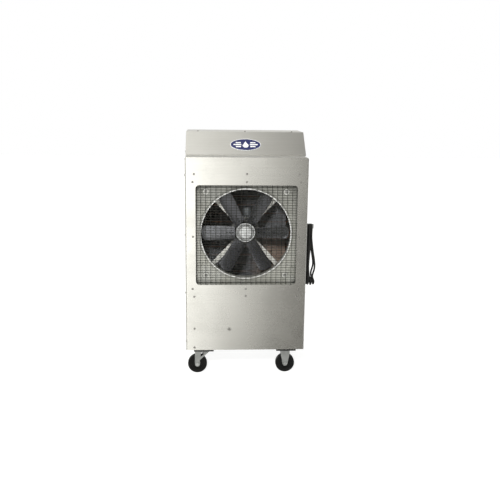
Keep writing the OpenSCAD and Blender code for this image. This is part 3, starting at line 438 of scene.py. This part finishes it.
def to_object(bm, name, material, body="cabinet", smooth=True):
    """Turn a bmesh into a piece that rides on a body and takes its finish from one of the record's slots"""
    bmesh.ops.remove_doubles(bm, verts=bm.verts, dist=1e-6)
    bmesh.ops.recalc_face_normals(bm, faces=bm.faces)
    mesh = bpy.data.meshes.new(name)
    bm.to_mesh(mesh)
    bm.free()
    for polygon in mesh.polygons:
        polygon.use_smooth = smooth
    piece = bpy.data.objects.new(name, mesh)
    bpy.context.scene.collection.objects.link(piece)
    mesh.materials.append(M[material])
    if smooth:
        break_at_edges(piece)
    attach(piece, body)
    return piece


def break_at_edges(piece):
    """Smooth shading that breaks at sharp edges"""
    limit = math.radians(35)
    edit = bmesh.new()
    edit.from_mesh(piece.data)
    for edge in edit.edges:
        edge.smooth = len(edge.link_faces) == 2 and edge.calc_face_angle(0) < limit
    edit.to_mesh(piece.data)
    edit.free()


def round_edges(piece, width, degrees=40):
    bevel = piece.modifiers.new("rounded", "BEVEL")
    bevel.width = width
    bevel.segments = 2
    bevel.limit_method = "ANGLE"
    bevel.angle_limit = math.radians(degrees)
    bevel.harden_normals = False


def thicken(piece, thickness):
    """Give a sheet its thickness, half on each side"""
    sheet = piece.modifiers.new("sheet", "SOLIDIFY")
    sheet.thickness = thickness
    sheet.offset = 0


def add_box(bm, lo, hi, turn=None):
    """A box from corner to corner, turned by a matrix if one is given"""
    verts = [bm.verts.new((x, y, z)) for x in (lo[0], hi[0]) for y in (lo[1], hi[1]) for z in (lo[2], hi[2])]
    for quad in ((0, 1, 3, 2), (4, 6, 7, 5), (0, 4, 5, 1), (2, 3, 7, 6), (0, 2, 6, 4), (1, 5, 7, 3)):
        bm.faces.new([verts[i] for i in quad])
    if turn is not None:
        bmesh.ops.transform(bm, matrix=turn, verts=verts)


def ring(bm, middle, across, other, radius, sides):
    """A circle of vertices round middle, in the plane of across and other"""
    verts = []
    for k in range(sides):
        turn = TAU * k / sides
        verts.append(bm.verts.new(middle + (across * math.cos(turn) + other * math.sin(turn)) * radius))
    return verts


def wall(bm, a, b):
    """Faces between two closed loops of as many vertices"""
    count = len(a)
    for k in range(count):
        n = (k + 1) % count
        bm.faces.new((a[k], a[n], b[n], b[k]))


def cap(bm, first, last):
    """Close both ends of a row of loops"""
    bm.faces.new(first[::-1])
    bm.faces.new(last)


def skin(bm, grid):
    """Faces over a grid of vertices"""
    for row, beyond in zip(grid, grid[1:]):
        for j in range(len(row) - 1):
            bm.faces.new((row[j], beyond[j], beyond[j + 1], row[j + 1]))


def sweep(bm, points, radius, sides, closed=False):
    """A round bar through points, with its section carried along without twist"""
    points = [Vector(p) for p in points]
    count = len(points)
    rings, across = [], None
    for i, point in enumerate(points):
        ahead = points[(i + 1) % count] if closed or i < count - 1 else point
        behind = points[i - 1] if closed or i > 0 else point
        along = (ahead - behind).normalized()
        if across is None:
            across = along.orthogonal().normalized()
        across = (across - along * across.dot(along)).normalized()
        rings.append(ring(bm, point, across, along.cross(across), radius, sides))
    for a, b in zip(rings, rings[1:]):
        wall(bm, a, b)
    if closed:
        a, b = rings[-1], rings[0]
        shift = min(range(sides), key=lambda s: (a[0].co - b[s].co).length)
        wall(bm, a, b[shift:] + b[:shift])
    else:
        cap(bm, rings[0], rings[-1])


def lathe(bm, profile, centre, axis, steps):
    """Turn (radius, distance along axis) points round an axis through centre. Radius 0 closes to a point."""
    axis = Vector(axis).normalized()
    across = axis.orthogonal().normalized()
    other = axis.cross(across)
    rings = []
    for radius, reach in profile:
        middle = Vector(centre) + axis * reach
        if radius < 1e-6:
            rings.append([bm.verts.new(middle)])
        else:
            rings.append(ring(bm, middle, across, other, radius, steps))
    pairs = list(zip(rings, rings[1:]))
    if len(rings[0]) > 1 and len(rings[-1]) > 1:
        pairs.append((rings[-1], rings[0]))
    for a, b in pairs:
        for k in range(steps):
            n = (k + 1) % steps
            loop = [a[k % len(a)], a[n % len(a)], b[n % len(b)], b[k % len(b)]]
            unique = [v for i, v in enumerate(loop) if v not in loop[:i]]
            if len(unique) > 2:
                bm.faces.new(unique)


def smooth_path(points, steps):
    """Catmull-Rom curve through points"""
    last = len(points) - 1
    path = []
    for i in range(last):
        a, b, c, d = (points[min(max(i + k, 0), last)] for k in (-1, 0, 1, 2))
        for s in range(steps):
            t = s / steps
            path.append(0.5 * ((2 * b) + (c - a) * t + (2 * a - 5 * b + 4 * c - d) * t * t
                               + (3 * b - a - 3 * c + d) * t ** 3))
    path.append(points[-1])
    return path


def ellipse(w, h):
    steps = 96
    turns = [TAU * i / steps for i in range(steps)]
    return [(w / 2 * math.cos(a), h / 2 * math.sin(a)) for a in turns]


def prism(bm, outline, z0, z1, place):
    """A flat outline made solid between two heights, then moved by a matrix"""
    low = [bm.verts.new(place @ Vector((x, y, z0))) for x, y in outline]
    high = [bm.verts.new(place @ Vector((x, y, z1))) for x, y in outline]
    cap(bm, low, high)
    wall(bm, low, high)


# ---------------------------------------------------------------- CAD parts that stay

CAD_MATERIALS = {
    "front_sheet": ["front_panel", "rear_panel", "filter_rails"],
    "side_sheet": ["left_side_panel", "right_side_panel"],
    "hood_sheet": ["top_hood"],
    "deck_sheet": ["top_deck"],
    "tray": ["fan_panel"],
    "frame": ["base_pan", "cabinet_frame", "mid_shelf", "drip_tray"],
    "strap": ["motor_mount"],
    "arm": ["blade_rivets"],
    "zinc": ["cord_hook", "swivel_axle_front", "swivel_axle_rear", "rigid_axles"],
    "screw": ["panel_screws"],
    "dark_zinc": ["swivel_plates", "caster_bolts"],
    "bolt": ["mount_bolts"],
    "fork": ["swivel_fork_front", "swivel_fork_rear", "rigid_forks"],
    "bright": ["motor_bearings", "fan_shaft", "motor_rotor"],
    "motor": ["motor_shell"],
    "can": ["motor_capacitor"],
    "winding": ["motor_stator"],
    "rail": ["base_rails"],
    "compressor": ["compressor"],
    "feet": ["compressor_feet"],
    "coil_tube": ["evaporator_tubes", "condenser_tubes"],
    "copper": ["refrigerant_lines", "filter_drier"],
    "hose": ["drain_hose"],
    "black": ["drain_outlet", "control_box", "power_switch", "humidistat_knob", "cord_grip", "power_plug"],
    "lamp": ["indicator_lamp"],
    "channel": ["filter_frame"],
    "tyre": ["wheel_front_left", "wheel_rear_left", "wheel_front_right", "wheel_rear_right"],
    "hub": ["fan_hub"],
    "blade": ["fan_blades"],
    "fin": ["evaporator_core", "condenser_core"],
    "wire": ["wire_guard"],
    "cord": ["power_cord"],
    "blue": ["badge"],
    "fibre": ["filter_media"],
}


def dress_cad():
    for material, names in CAD_MATERIALS.items():
        for name in names:
            slots = NODES[name].data.materials
            slots.clear()
            slots.append(M[material])


# ---------------------------------------------------------------- outlet

def wavy(rng, start, end, swing):
    """Points along a wire that waves a little from side to side"""
    phase = rng.uniform(0, TAU)
    path = []
    for i in range(13):
        t = i / 12
        path.append(start.lerp(end, t) + swing * math.sin(phase + t * TAU * 1.5) * math.sin(math.pi * t))
    return path


def wire_guard():
    """Welded mesh: level wires in front, upright wires behind, each a little wavy, on a heavier rim"""
    rng = random.Random(4)
    pitch_x, pitch_z = 25.4 * MM, 12.7 * MM
    level, upright, rim = 1.05 * MM, 1.3 * MM, 2.0 * MM
    half = (GUARD_HI.x - GUARD_LO.x) / 2 - rim
    level_y = GUARD_LO.y + rim / 2 + level
    upright_y = level_y + 0.9 * (level + upright)
    rows, columns = int(half / pitch_z), int(half / pitch_x)
    bm = bmesh.new()
    for i in range(-rows, rows + 1):
        z = AXIS_Z + i * pitch_z
        swing = Vector((0, 0, rng.uniform(0, 0.5) * MM))
        sweep(bm, wavy(rng, Vector((-half, level_y, z)), Vector((half, level_y, z)), swing), level, 8)
    for i in range(-columns, columns + 1):
        low, high = (Vector((i * pitch_x, upright_y, AXIS_Z + side * half)) for side in (-1, 1))
        swing = Vector((rng.uniform(0, 0.7) * MM, 0, 0))
        sweep(bm, wavy(rng, low, high, swing), upright, 8)
    corners = [(-half, -half), (half, -half), (half, half), (-half, half)]
    sweep(bm, [(x, level_y + level, AXIS_Z + z) for x, z in corners], rim, 8, closed=True)
    piece = to_object(bm, "guard_mesh", "wire")
    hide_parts("wire_guard")


BOLTS_LO, BOLTS_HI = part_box("mount_bolts")
# The front of the small washers that the CAD puts under the heads of the motor mount's bolts
SEAT_Y = BOLTS_LO.y + 4.8 * MM


def orifice_bead():
    """A bead rolled into the lip of the fan's round hole, near white: a painted highlight along the lip"""
    radius, steps = 229.5 * MM, 180
    path = []
    for i in range(steps):
        a = TAU * i / steps
        path.append((math.cos(a) * radius, SEAT_Y - 4.0 * MM, AXIS_Z + math.sin(a) * radius))
    bm = bmesh.new()
    sweep(bm, path, 3.0 * MM, 12, closed=True)
    to_object(bm, "orifice_bead", "bead")


def mount_washers():
    """A wide flat washer over each small one, round the bolt's head"""
    small_r = 12.5 * MM
    # To the whole millimetre, because the facets of round washers leave their box a little short
    x = round(BOLTS_HI.x - small_r, 3)
    z = round((BOLTS_HI.z - BOLTS_LO.z) / 2 - small_r, 3)
    section = [(8.2, 0), (8.2, 1.8), (14.6, 1.8), (15.2, 1.2), (15.2, 0)]
    section = [(radius * MM, reach * MM) for radius, reach in section]
    bm = bmesh.new()
    for sx in (-1, 1):
        for sz in (-1, 1):
            lathe(bm, section, (sx * x, SEAT_Y - 0.4 * MM, AXIS_Z + sz * z), (0, -1, 0), 40)
    to_object(bm, "mount_washers", "washer")


# ---------------------------------------------------------------- fan

FAN_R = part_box("fan_blades")[1].x
BLADE_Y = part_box("fan_hub")[0].y + 6 * MM
BLADE_COUNT = 6
BLADE_ROOT = 54 * MM
ROOT_PITCH, TWIST = 33, 9


def blade_turn(index):
    return Matrix.Translation((0, BLADE_Y, AXIS_Z)) @ Matrix.Rotation(-index * TAU / BLADE_COUNT, 4, "Y")


def pitched(y, z, u):
    """A point of a blade's section, tilted by the blade's pitch at u, from 0 at its root to 1 at its tip"""
    pitch = math.radians(ROOT_PITCH - TWIST * u)
    return y * math.cos(pitch) - z * math.sin(pitch), y * math.sin(pitch) + z * math.cos(pitch)


def fan_blades():
    """Twisted, cambered sheet blades with rounded tip corners"""
    tip = FAN_R - 0.5 * MM
    rows, columns, corner_r = 26, 14, 20 * MM
    bm = bmesh.new()
    for b in range(BLADE_COUNT):
        turn = blade_turn(b)
        grid = []
        for i in range(rows + 1):
            u = i / rows
            r = BLADE_ROOT + (tip - BLADE_ROOT) * u
            half = (33 + 5.5 * min(1, u / 0.75)) * MM
            corner = max(0.0, (r - (tip - corner_r)) / corner_r)
            half *= 1 - 0.42 * (1 - math.sqrt(max(0.0, 1 - corner ** 2)))
            line = []
            for j in range(columns + 1):
                v = 2 * j / columns - 1
                camber = 0.085 * half * 2 * (1 - v * v)
                y, z = pitched(camber, v * half, u)
                reach = math.sqrt(max(1e-9, r * r - z * z * u))
                line.append(bm.verts.new(turn @ Vector((reach, y - 4 * MM, z))))
            grid.append(line)
        skin(bm, grid)
    piece = to_object(bm, "twisted_blades", "blade", body="fan")
    thicken(piece, 2 * MM)
    round_edges(piece, 0.5 * MM, 60)
    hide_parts("fan_blades")


def fan_hub():
    """Spun cap with a rolled rim and a raised centre, and a boss behind it"""
    face = [(0, 5.8), (12, 6), (27, 6), (30.5, 5.2), (32.5, 3)]
    groove = [(33.4, -2.4), (35, -3.4), (41.5, -3.4), (42.4, -2)]
    rim = [(43.6, 3.8), (44.6, 5.2), (46.5, 5.6), (48.6, 4.6), (49.8, 2.4), (50, 0), (49.6, -4.5), (48, -5)]
    boss = [(19, -5), (17.5, -7), (17.5, -28), (16, -30), (6.4, -30), (6.4, 2), (0, 2)]
    profile = [(radius * MM, reach * MM) for radius, reach in face + groove + rim + boss]
    bm = bmesh.new()
    lathe(bm, profile, (0, BLADE_Y, AXIS_Z), (0, -1, 0), 96)
    piece = to_object(bm, "hub_cap", "hub", body="fan")
    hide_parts("fan_hub")


def hub_spider():
    """An arm for each blade, bent to the blade's twist and riveted over its root"""
    start, length, rows = 40, 68, 12
    bm = bmesh.new()
    for b in range(BLADE_COUNT):
        turn = blade_turn(b)
        grid = []
        for i in range(rows + 1):
            u = i / rows
            r = (start + length * u) * MM
            half = (13 - 2.5 * u) * MM * (1 if u < 0.92 else 0.8)
            along = max(0.0, (r - BLADE_ROOT) / (FAN_R - BLADE_ROOT))
            line = []
            for v in (-1, -0.5, 0, 0.5, 1):
                y, z = pitched(5.6 * MM * (1 - 0.12 * v * v), v * half, along)
                line.append(bm.verts.new(turn @ Vector((r, y - 0.4 * MM, z))))
            grid.append(line)
        skin(bm, grid)
    arms = to_object(bm, "hub_spider", "arm", body="fan")
    thicken(arms, 2.5 * MM)
    round_edges(arms, 0.5 * MM, 60)


# ---------------------------------------------------------------- coils

def coil_fins(node, name):
    """Upright fins between two end plates, under a top and over a bottom strip"""
    lo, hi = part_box(node)
    pitch, thick, plate, strip = 4.2 * MM, 1.2 * MM, 1.5 * MM, 1.2 * MM
    count = int((hi.x - lo.x - 6 * MM) / pitch)
    bm = bmesh.new()
    for i in range(count + 1):
        x = lo.x + 3 * MM + i * pitch
        low = (x - thick / 2, lo.y + 1 * MM, lo.z + 2 * MM)
        add_box(bm, low, (x + thick / 2, hi.y - 1 * MM, hi.z - 2 * MM))
    for x in (lo.x, hi.x - plate):
        add_box(bm, (x, lo.y, lo.z), (x + plate, hi.y, hi.z))
    for z in (lo.z, hi.z - strip):
        add_box(bm, (lo.x, lo.y, z), (hi.x, hi.y, z + strip))
    piece = to_object(bm, name, "fin", smooth=False)
    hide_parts(node)


# ---------------------------------------------------------------- filter

MEDIA_LO, MEDIA_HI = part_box("filter_media")


def filter_media():
    """Fine upright pleats"""
    count, inset = 64, 1.2 * MM
    step = (MEDIA_HI.x - MEDIA_LO.x) / count
    depths = (MEDIA_HI.y - inset, MEDIA_LO.y + inset)
    bm = bmesh.new()
    rows = []
    for z in (MEDIA_LO.z, MEDIA_HI.z):
        rows.append([bm.verts.new((MEDIA_LO.x + i * step, depths[i % 2], z)) for i in range(count + 1)])
    for i in range(count):
        bm.faces.new((rows[0][i], rows[0][i + 1], rows[1][i + 1], rows[1][i]))
    piece = to_object(bm, "pleated_media", "fibre", body="filter", smooth=False)
    thicken(piece, 1.0 * MM)
    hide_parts("filter_media")


def filter_grid():
    """Slanting wires, crossed in diamonds, that hold the pleats at the back"""
    y, pitch = MEDIA_HI.y + 1.0 * MM, 50 * MM
    half_w, height = (MEDIA_HI.x - MEDIA_LO.x) / 2, MEDIA_HI.z - MEDIA_LO.z
    slant = height / 2
    count = int((half_w + slant) / pitch)
    bm = bmesh.new()
    for i in range(-count, count + 1):
        for lean in (-1, 1):
            low = Vector((i * pitch - lean * slant, y, MEDIA_LO.z))
            high = Vector((i * pitch + lean * slant, y, MEDIA_LO.z + height))
            a, b = clip_x(low, high, -half_w, half_w)
            if a is not None:
                sweep(bm, [a, a.lerp(b, 0.5), b], 0.8 * MM, 6)
    to_object(bm, "filter_grid", "zinc", body="filter")


def clip_x(a, b, low, high):
    """The part of the line from a to b whose x lies between low and high"""
    t0, t1 = 0.0, 1.0
    span = b.x - a.x
    for edge, sign in ((low, 1), (high, -1)):
        start, slope = sign * (a.x - edge), sign * span
        t = -start / slope
        if slope > 0:
            t0 = max(t0, t)
        else:
            t1 = min(t1, t)
    if t1 - t0 < 0.02:
        return None, None
    return a.lerp(b, t0), a.lerp(b, t1)


# ---------------------------------------------------------------- badge

def drop_outline(size, steps=40):
    """A drop of water with its tip up"""
    outline = []
    for i in range(steps):
        a = TAU * i / steps
        upper = max(0.0, math.sin(a))
        x = size * math.cos(a) * (1 - 0.35 * upper ** 2)
        outline.append((x, size * math.sin(a) * (1 + 0.9 * upper ** 6) - 0.4 * size))
    return outline


def badge():
    """Oval enamel plate with a pale rim, a raised drop and three bars of air on each side. No lettering."""
    lo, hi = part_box("badge")
    slope = math.atan2(hi.z - lo.z, hi.y - lo.y)
    place = Matrix.Translation((lo + hi) / 2) @ Matrix.Rotation(slope, 4, "X")
    w, h = hi.x - lo.x, math.hypot(hi.y - lo.y, hi.z - lo.z) - 2 * MM
    bm = bmesh.new()
    prism(bm, ellipse(w - 5 * MM, h - 5 * MM), -1.4 * MM, 0.2 * MM, place)
    field = to_object(bm, "badge_plate", "blue")
    round_edges(field, 0.4 * MM)
    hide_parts("badge")
    bm = bmesh.new()
    rim = [place @ Vector((x, y, 0.0)) for x, y in ellipse(w - 3.4 * MM, h - 3.4 * MM)]
    sweep(bm, rim, 1.5 * MM, 8, closed=True)
    to_object(bm, "badge_rim", "white")
    bm = bmesh.new()
    prism(bm, drop_outline(15 * MM), 0.2 * MM, 1.0 * MM, place)
    pitch, half = 14 * MM, 3.8 * MM
    for side in (-1, 1):
        for row, (start, end) in enumerate(((24, 50), (22, 62), (24, 50))):
            y = (row - 1) * pitch
            x0, x1 = sorted((side * start * MM, side * end * MM))
            bar = [(x0, y - half), (x1, y - half), (x1, y + half), (x0, y + half)]
            prism(bm, bar, 0.2 * MM, 1.0 * MM, place)
    mark = to_object(bm, "badge_mark", "white")
    round_edges(mark, 0.3 * MM)


# ---------------------------------------------------------------- power cord

HOOK_LO, HOOK_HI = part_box("cord_hook")
GRIP_LO, GRIP_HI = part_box("cord_grip")
PLUG_LO, PLUG_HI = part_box("power_plug")
PLUG = (PLUG_LO + PLUG_HI) / 2
CORD_R = 4.6 * MM
CORD_Y = (HOOK_LO.y + HOOK_HI.y) / 2
CORD_TOP = HOOK_HI.z - 13 * MM
CORD_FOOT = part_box("power_cord")[0].z + CORD_R + 1 * MM
# For each turn, in mm: how far it hangs to the front and to the rear of the hook, and how far it
# stands off the side panel at its top, its bulge, its pinch and its foot
CORD_TURNS = [
    (31, 36, 7, 7, 7, 7),
    (25, 31, 15, 14, 13, 14),
    (34, 24, 22, 20, 20, 22),
    (21, 35, 29, 23, 27, 38),
    (30, 30, 35, 54, 44, 52),
]


def cord_turn(rng, front, rear, *reach):
    """One hanging turn of the cord: up behind the hook, over it, down in front, round and up again"""
    top, low = CORD_TOP, CORD_FOOT
    height = top - low
    bulge, pinch = low + 0.34 * height, low + 0.17 * height
    x_top, x_bulge, x_pinch, x_foot = (HALF_W + v * MM for v in reach)
    x_waist = x_top * 0.7 + x_bulge * 0.3
    ahead, behind = CORD_Y - front * MM, CORD_Y + rear * MM
    foot = low + rng.uniform(0, 7) * MM
    lean = rng.uniform(-2, 2) * MM
    return [
        Vector((x_top, CORD_Y + rear * 0.7 * MM, top - 9 * MM)),
        Vector((x_top, CORD_Y + lean, top)),
        Vector((x_top, CORD_Y - front * 0.7 * MM, top - 9 * MM)),
        Vector((x_top - 1 * MM, ahead + lean, top - 0.2 * height)),
        Vector((x_waist, ahead, top - 0.38 * height)),
        Vector((x_bulge, ahead - lean, bulge)),
        Vector((x_pinch, ahead, pinch)),
        Vector((x_foot, ahead + 3 * MM, low + 0.08 * height)),
        Vector((x_foot, CORD_Y - front * 0.6 * MM, foot + 6 * MM)),
        Vector((x_foot, CORD_Y + lean, foot)),
        Vector((x_foot, CORD_Y + rear * 0.7 * MM, foot + 9 * MM)),
        Vector((x_pinch, behind + lean, pinch)),
        Vector((x_bulge, behind, bulge)),
        Vector((x_waist, behind, top - 0.38 * height)),
        Vector((x_top, behind - lean, top - 0.2 * height)),
    ]


def power_cord():
    """One cord: from its grip to the hook, round it in hanging turns, and down the middle to the plug"""
    rng = random.Random(11)
    height = CORD_TOP - CORD_FOOT
    grip = (GRIP_LO + GRIP_HI) / 2
    points = [
        Vector((GRIP_HI.x - 4 * MM, grip.y, grip.z)),
        Vector((GRIP_HI.x + 7 * MM, grip.y - 3 * MM, grip.z - 4 * MM)),
        Vector((GRIP_HI.x + 9 * MM, grip.y - 14 * MM, grip.z - 26 * MM)),
        Vector((HALF_W + 18 * MM, grip.y - 42 * MM, grip.z - 60 * MM)),
        Vector((HALF_W + 9 * MM, CORD_Y + 50 * MM, CORD_TOP + 4 * MM)),
    ]
    for turn in CORD_TURNS:
        points += cord_turn(rng, *turn)
    points += [
        Vector((HALF_W + 33 * MM, CORD_Y + 14 * MM, CORD_TOP - 0.12 * height)),
        Vector((HALF_W + 25 * MM, CORD_Y + 8 * MM, CORD_TOP - 0.35 * height)),
        Vector((PLUG.x + 2 * MM, PLUG.y + 2 * MM, PLUG_HI.z + 60 * MM)),
        Vector((PLUG.x, PLUG.y, PLUG_HI.z + 14 * MM)),
        Vector((PLUG.x, PLUG.y, PLUG_HI.z - 6 * MM)),
    ]
    bm = bmesh.new()
    sweep(bm, smooth_path(points, 7), CORD_R, 12)
    piece = to_object(bm, "coiled_cord", "cord")
    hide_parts("power_cord")


PLUG_FACE_Z = PLUG_LO.z + 17 * MM
# Height above the plug's face, then half its width in x and in y, in mm
PLUG_GRIP = [(0, 13.5, 15), (2, 14.5, 16), (10, 14.5, 16), (18, 12, 13.5), (26, 12.5, 14), (34, 11, 12)]
PLUG_RELIEF = [(38, 7.5), (40, 7.6), (41, 6.6), (43, 6.6), (44, 7.2), (46, 7.2), (47, 6.2), (49, 6.2),
               (50, 6.8), (52, 6.8), (53, 5.6), (56, 5.2)]


def plug_body():
    """Moulded plug hanging blades down: a waisted grip, square with round corners, and a ribbed relief"""
    steps, power = 28, 3.2
    sections = [(*section, True) for section in PLUG_GRIP]
    sections += [(z, size, size, False) for z, size in PLUG_RELIEF]
    bm = bmesh.new()
    rings = []
    for z, a, b, squared in sections:
        verts = []
        for k in range(steps):
            c, s = math.cos(TAU * k / steps), math.sin(TAU * k / steps)
            out = (abs(c) ** power + abs(s) ** power) ** (-1 / power) if squared else 1.0
            place = (PLUG.x + a * MM * c * out, PLUG.y + b * MM * s * out, PLUG_FACE_Z + z * MM)
            verts.append(bm.verts.new(place))
        rings.append(verts)
    for a, b in zip(rings, rings[1:]):
        wall(bm, a, b)
    cap(bm, rings[0], rings[-1])
    body = to_object(bm, "plug_body", "black")
    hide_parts("power_plug")


def plug_blades():
    """Two flat blades and a round pin"""
    spacing, half_w, half_t = 6.35 * MM, 3 * MM, 0.75 * MM
    bm = bmesh.new()
    for side in (-1, 1):
        y = PLUG.y + side * spacing
        low = (PLUG.x - half_w, y - half_t, PLUG_LO.z + 2 * MM)
        add_box(bm, low, (PLUG.x + half_w, y + half_t, PLUG_FACE_Z + 1 * MM))
    pin = [(0, 0), (1.6 * MM, 0.6 * MM), (2.4 * MM, 2.4 * MM), (2.4 * MM, 19 * MM), (0, 19 * MM)]
    lathe(bm, pin, (PLUG.x + 8 * MM, PLUG.y, PLUG_LO.z), (0, 0, 1), 20)
    to_object(bm, "plug_blades", "bright")


# ---------------------------------------------------------------- controls

KNOB_LO, KNOB_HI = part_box("humidistat_knob")
KNOB = (KNOB_LO + KNOB_HI) / 2
PLATE_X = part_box("control_box")[1].x


def dial_ticks():
    """Raised marks round the knob, every fifth one longer"""
    inner, half = 23 * MM, 0.5 * MM
    bm = bmesh.new()
    for i in range(11):
        angle = math.radians(210 - 30 * i)
        turn = Matrix.Translation((PLATE_X, KNOB.y, KNOB.z)) @ Matrix.Rotation(angle, 4, "X")
        length = (5 if i % 5 == 0 else 3) * MM
        add_box(bm, (-0.1 * MM, inner, -half), (0.35 * MM, inner + length, half), turn)
    to_object(bm, "dial_ticks", "white", smooth=False)


def knob_pointer():
    bm = bmesh.new()
    low = (KNOB_HI.x - 0.4 * MM, KNOB.y - 0.8 * MM, KNOB.z + 2 * MM)
    add_box(bm, low, (KNOB_HI.x + 0.25 * MM, KNOB.y + 0.8 * MM, KNOB.z + 13 * MM))
    to_object(bm, "knob_pointer", "white", body="knob", smooth=False)


def switch_bezel():
    """Four bars round the rocker"""
    rocker_lo, rocker_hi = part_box("power_switch")
    middle = (rocker_lo + rocker_hi) / 2
    outer_y, outer_z, inner_y, inner_z = 14.5 * MM, 21 * MM, 11 * MM, 17.4 * MM
    bars = []
    for side in (-1, 1):
        y0, y1 = sorted((side * inner_y, side * outer_y))
        bars.append((y0, y1, -outer_z, outer_z))
    for side in (-1, 1):
        z0, z1 = sorted((side * inner_z, side * outer_z))
        bars.append((-inner_y, inner_y, z0, z1))
    bm = bmesh.new()
    for y0, y1, z0, z1 in bars:
        low = (PLATE_X - 0.1 * MM, middle.y + y0, middle.z + z0)
        add_box(bm, low, (PLATE_X + 1.6 * MM, middle.y + y1, middle.z + z1))
    bezel = to_object(bm, "switch_bezel", "black", smooth=False)
    round_edges(bezel, 0.4 * MM)


# ---------------------------------------------------------------- stage, light and camera

def stage():
    """A wide pale floor that lights itself a little and does not show in the steel"""
    size = 14.0
    corners = ((-size, -size), (size, -size), (size, size), (-size, size))
    bm = bmesh.new()
    bm.faces.new([bm.verts.new((x, y, FLOOR_Z)) for x, y in corners])
    mesh = bpy.data.meshes.new("floor")
    bm.to_mesh(mesh)
    bm.free()
    floor = bpy.data.objects.new("floor", mesh)
    bpy.context.scene.collection.objects.link(floor)
    look = Look("pale_floor")
    tone = look.mix(look.noise(1.5, 4, 0.6), (0.32, 0.32, 0.315), (0.36, 0.36, 0.355))
    finish = look.set(Base_Color=tone, Roughness=0.9, Emission_Color=(1, 1, 1), Emission_Strength=0.84)
    mesh.materials.append(finish)
    floor.visible_glossy = False


def front_glow(graph, x, z):
    """What stands in front of the machine: bright on the left, dark on the right, and darker far down"""
    below = graph.math("MINIMUM", z, 0.0)
    steep = graph.math("MULTIPLY", below, below)
    deep = graph.math("MULTIPLY", steep, steep)
    # The light falls off from left to right, and faster lower down
    slope = graph.math("MULTIPLY_ADD", below, 2.45, -0.92)
    level = graph.math("MULTIPLY_ADD", x, slope, 0.42)
    level = graph.math("MULTIPLY_ADD", z, -0.06, level)
    level = graph.math("MULTIPLY_ADD", deep, -7.5, level)
    # The lower left gets some light back
    left = graph.math("MINIMUM", graph.math("SUBTRACT", x, 0.03), 0.0)
    level = graph.math("MULTIPLY_ADD", graph.math("MULTIPLY", left, below), 2.6, level)
    return graph.mix(graph.range(level, 0.235, 0.595), (0.075, 0.07, 0.06), (2.8, 2.8, 2.7))


def room_glow(graph, x, y, z):
    """The room all round: a little brighter on the left, and dimmer low down in front"""
    room = graph.mix(graph.range(x, -0.8, 0.8), (1.12, 1.12, 1.09), (0.52, 0.52, 0.51))
    toward = graph.range(y, -0.15, -0.45)
    low = graph.range(graph.math("MULTIPLY_ADD", x, 0.6, z), 0.75, 0.2)
    return graph.mix(graph.math("MULTIPLY", toward, low), room, (0.36, 0.36, 0.35))


def studio_world():
    """An even room with a sweep of light in a strip straight ahead. The camera itself sees plain white."""
    world = bpy.data.worlds.new("studio")
    bpy.context.scene.world = world
    world.use_nodes = True
    world.node_tree.nodes.clear()
    graph = Graph(world.node_tree)
    axes = graph.axes(graph.add("ShaderNodeTexCoord").outputs["Generated"])
    x, y, z = axes["X"], axes["Y"], axes["Z"]
    narrow = graph.range(graph.math("ABSOLUTE", x), 0.46, 0.26, interpolation="SMOOTHSTEP")
    ahead = graph.range(y, 0.5, 0.2, interpolation="SMOOTHSTEP")
    rise = graph.range(x, -0.34, -0.07, interpolation="SMOOTHSTEP")
    strip = graph.math("MULTIPLY", graph.math("MULTIPLY", narrow, ahead), rise)
    sky = graph.mix(strip, room_glow(graph, x, y, z), front_glow(graph, x, z))
    seen = graph.add("ShaderNodeLightPath").outputs["Is Camera Ray"]
    background = graph.node("ShaderNodeBackground", {"Color": graph.mix(seen, sky, (1, 1, 1))})
    graph.node("ShaderNodeOutputWorld", {"Surface": background.outputs["Background"]})


def key_light():
    """A small soft light above and to the left, which leaves no glint in the steel"""
    place, target = Vector((-0.7, -3.6, 2.15)), Vector((0, 0, 0.6))
    light = bpy.data.lights.new("key", "AREA")
    light.shape = "RECTANGLE"
    light.size = 0.35
    light.size_y = 0.35
    light.energy = 130
    lamp = bpy.data.objects.new("key", light)
    lamp.location = place
    lamp.rotation_euler = (target - place).to_track_quat("-Z", "Y").to_euler()
    lamp.visible_glossy = False
    bpy.context.scene.collection.objects.link(lamp)


def camera():
    """Set slightly left of centre at head height, turned to the right and tipped down"""
    place = Vector((-0.1745, FRONT_Y - 3.3338, BOTTOM_Z + 1.255))
    yaw, pitch, roll = (math.radians(a) for a in (3.32, 12.27, 0.68))
    ahead = Vector((math.sin(yaw) * math.cos(pitch), math.cos(yaw) * math.cos(pitch), -math.sin(pitch)))
    flat = Vector((math.cos(yaw), -math.sin(yaw), 0))
    steep = flat.cross(ahead)
    right = flat * math.cos(roll) + steep * math.sin(roll)
    up = steep * math.cos(roll) - flat * math.sin(roll)
    data = bpy.data.cameras.new("camera")
    data.sensor_width = 36
    data.lens = 49.0
    data.clip_start = 0.05
    data.clip_end = 100
    holder = bpy.data.objects.new("camera", data)
    holder.matrix_world = Matrix.Translation(place) @ Matrix((right, up, -ahead)).transposed().to_4x4()
    bpy.context.scene.collection.objects.link(holder)
    bpy.context.scene.camera = holder


dress_cad()
wire_guard()
orifice_bead()
mount_washers()
fan_blades()
fan_hub()
hub_spider()
coil_fins("condenser_core", "condenser_fins")
coil_fins("evaporator_core", "evaporator_fins")
filter_media()
filter_grid()
badge()
power_cord()
plug_body()
plug_blades()
dial_ticks()
knob_pointer()
switch_bezel()
stage()
studio_world()
key_light()
camera()
bpy.context.scene.view_settings.view_transform = "Standard"
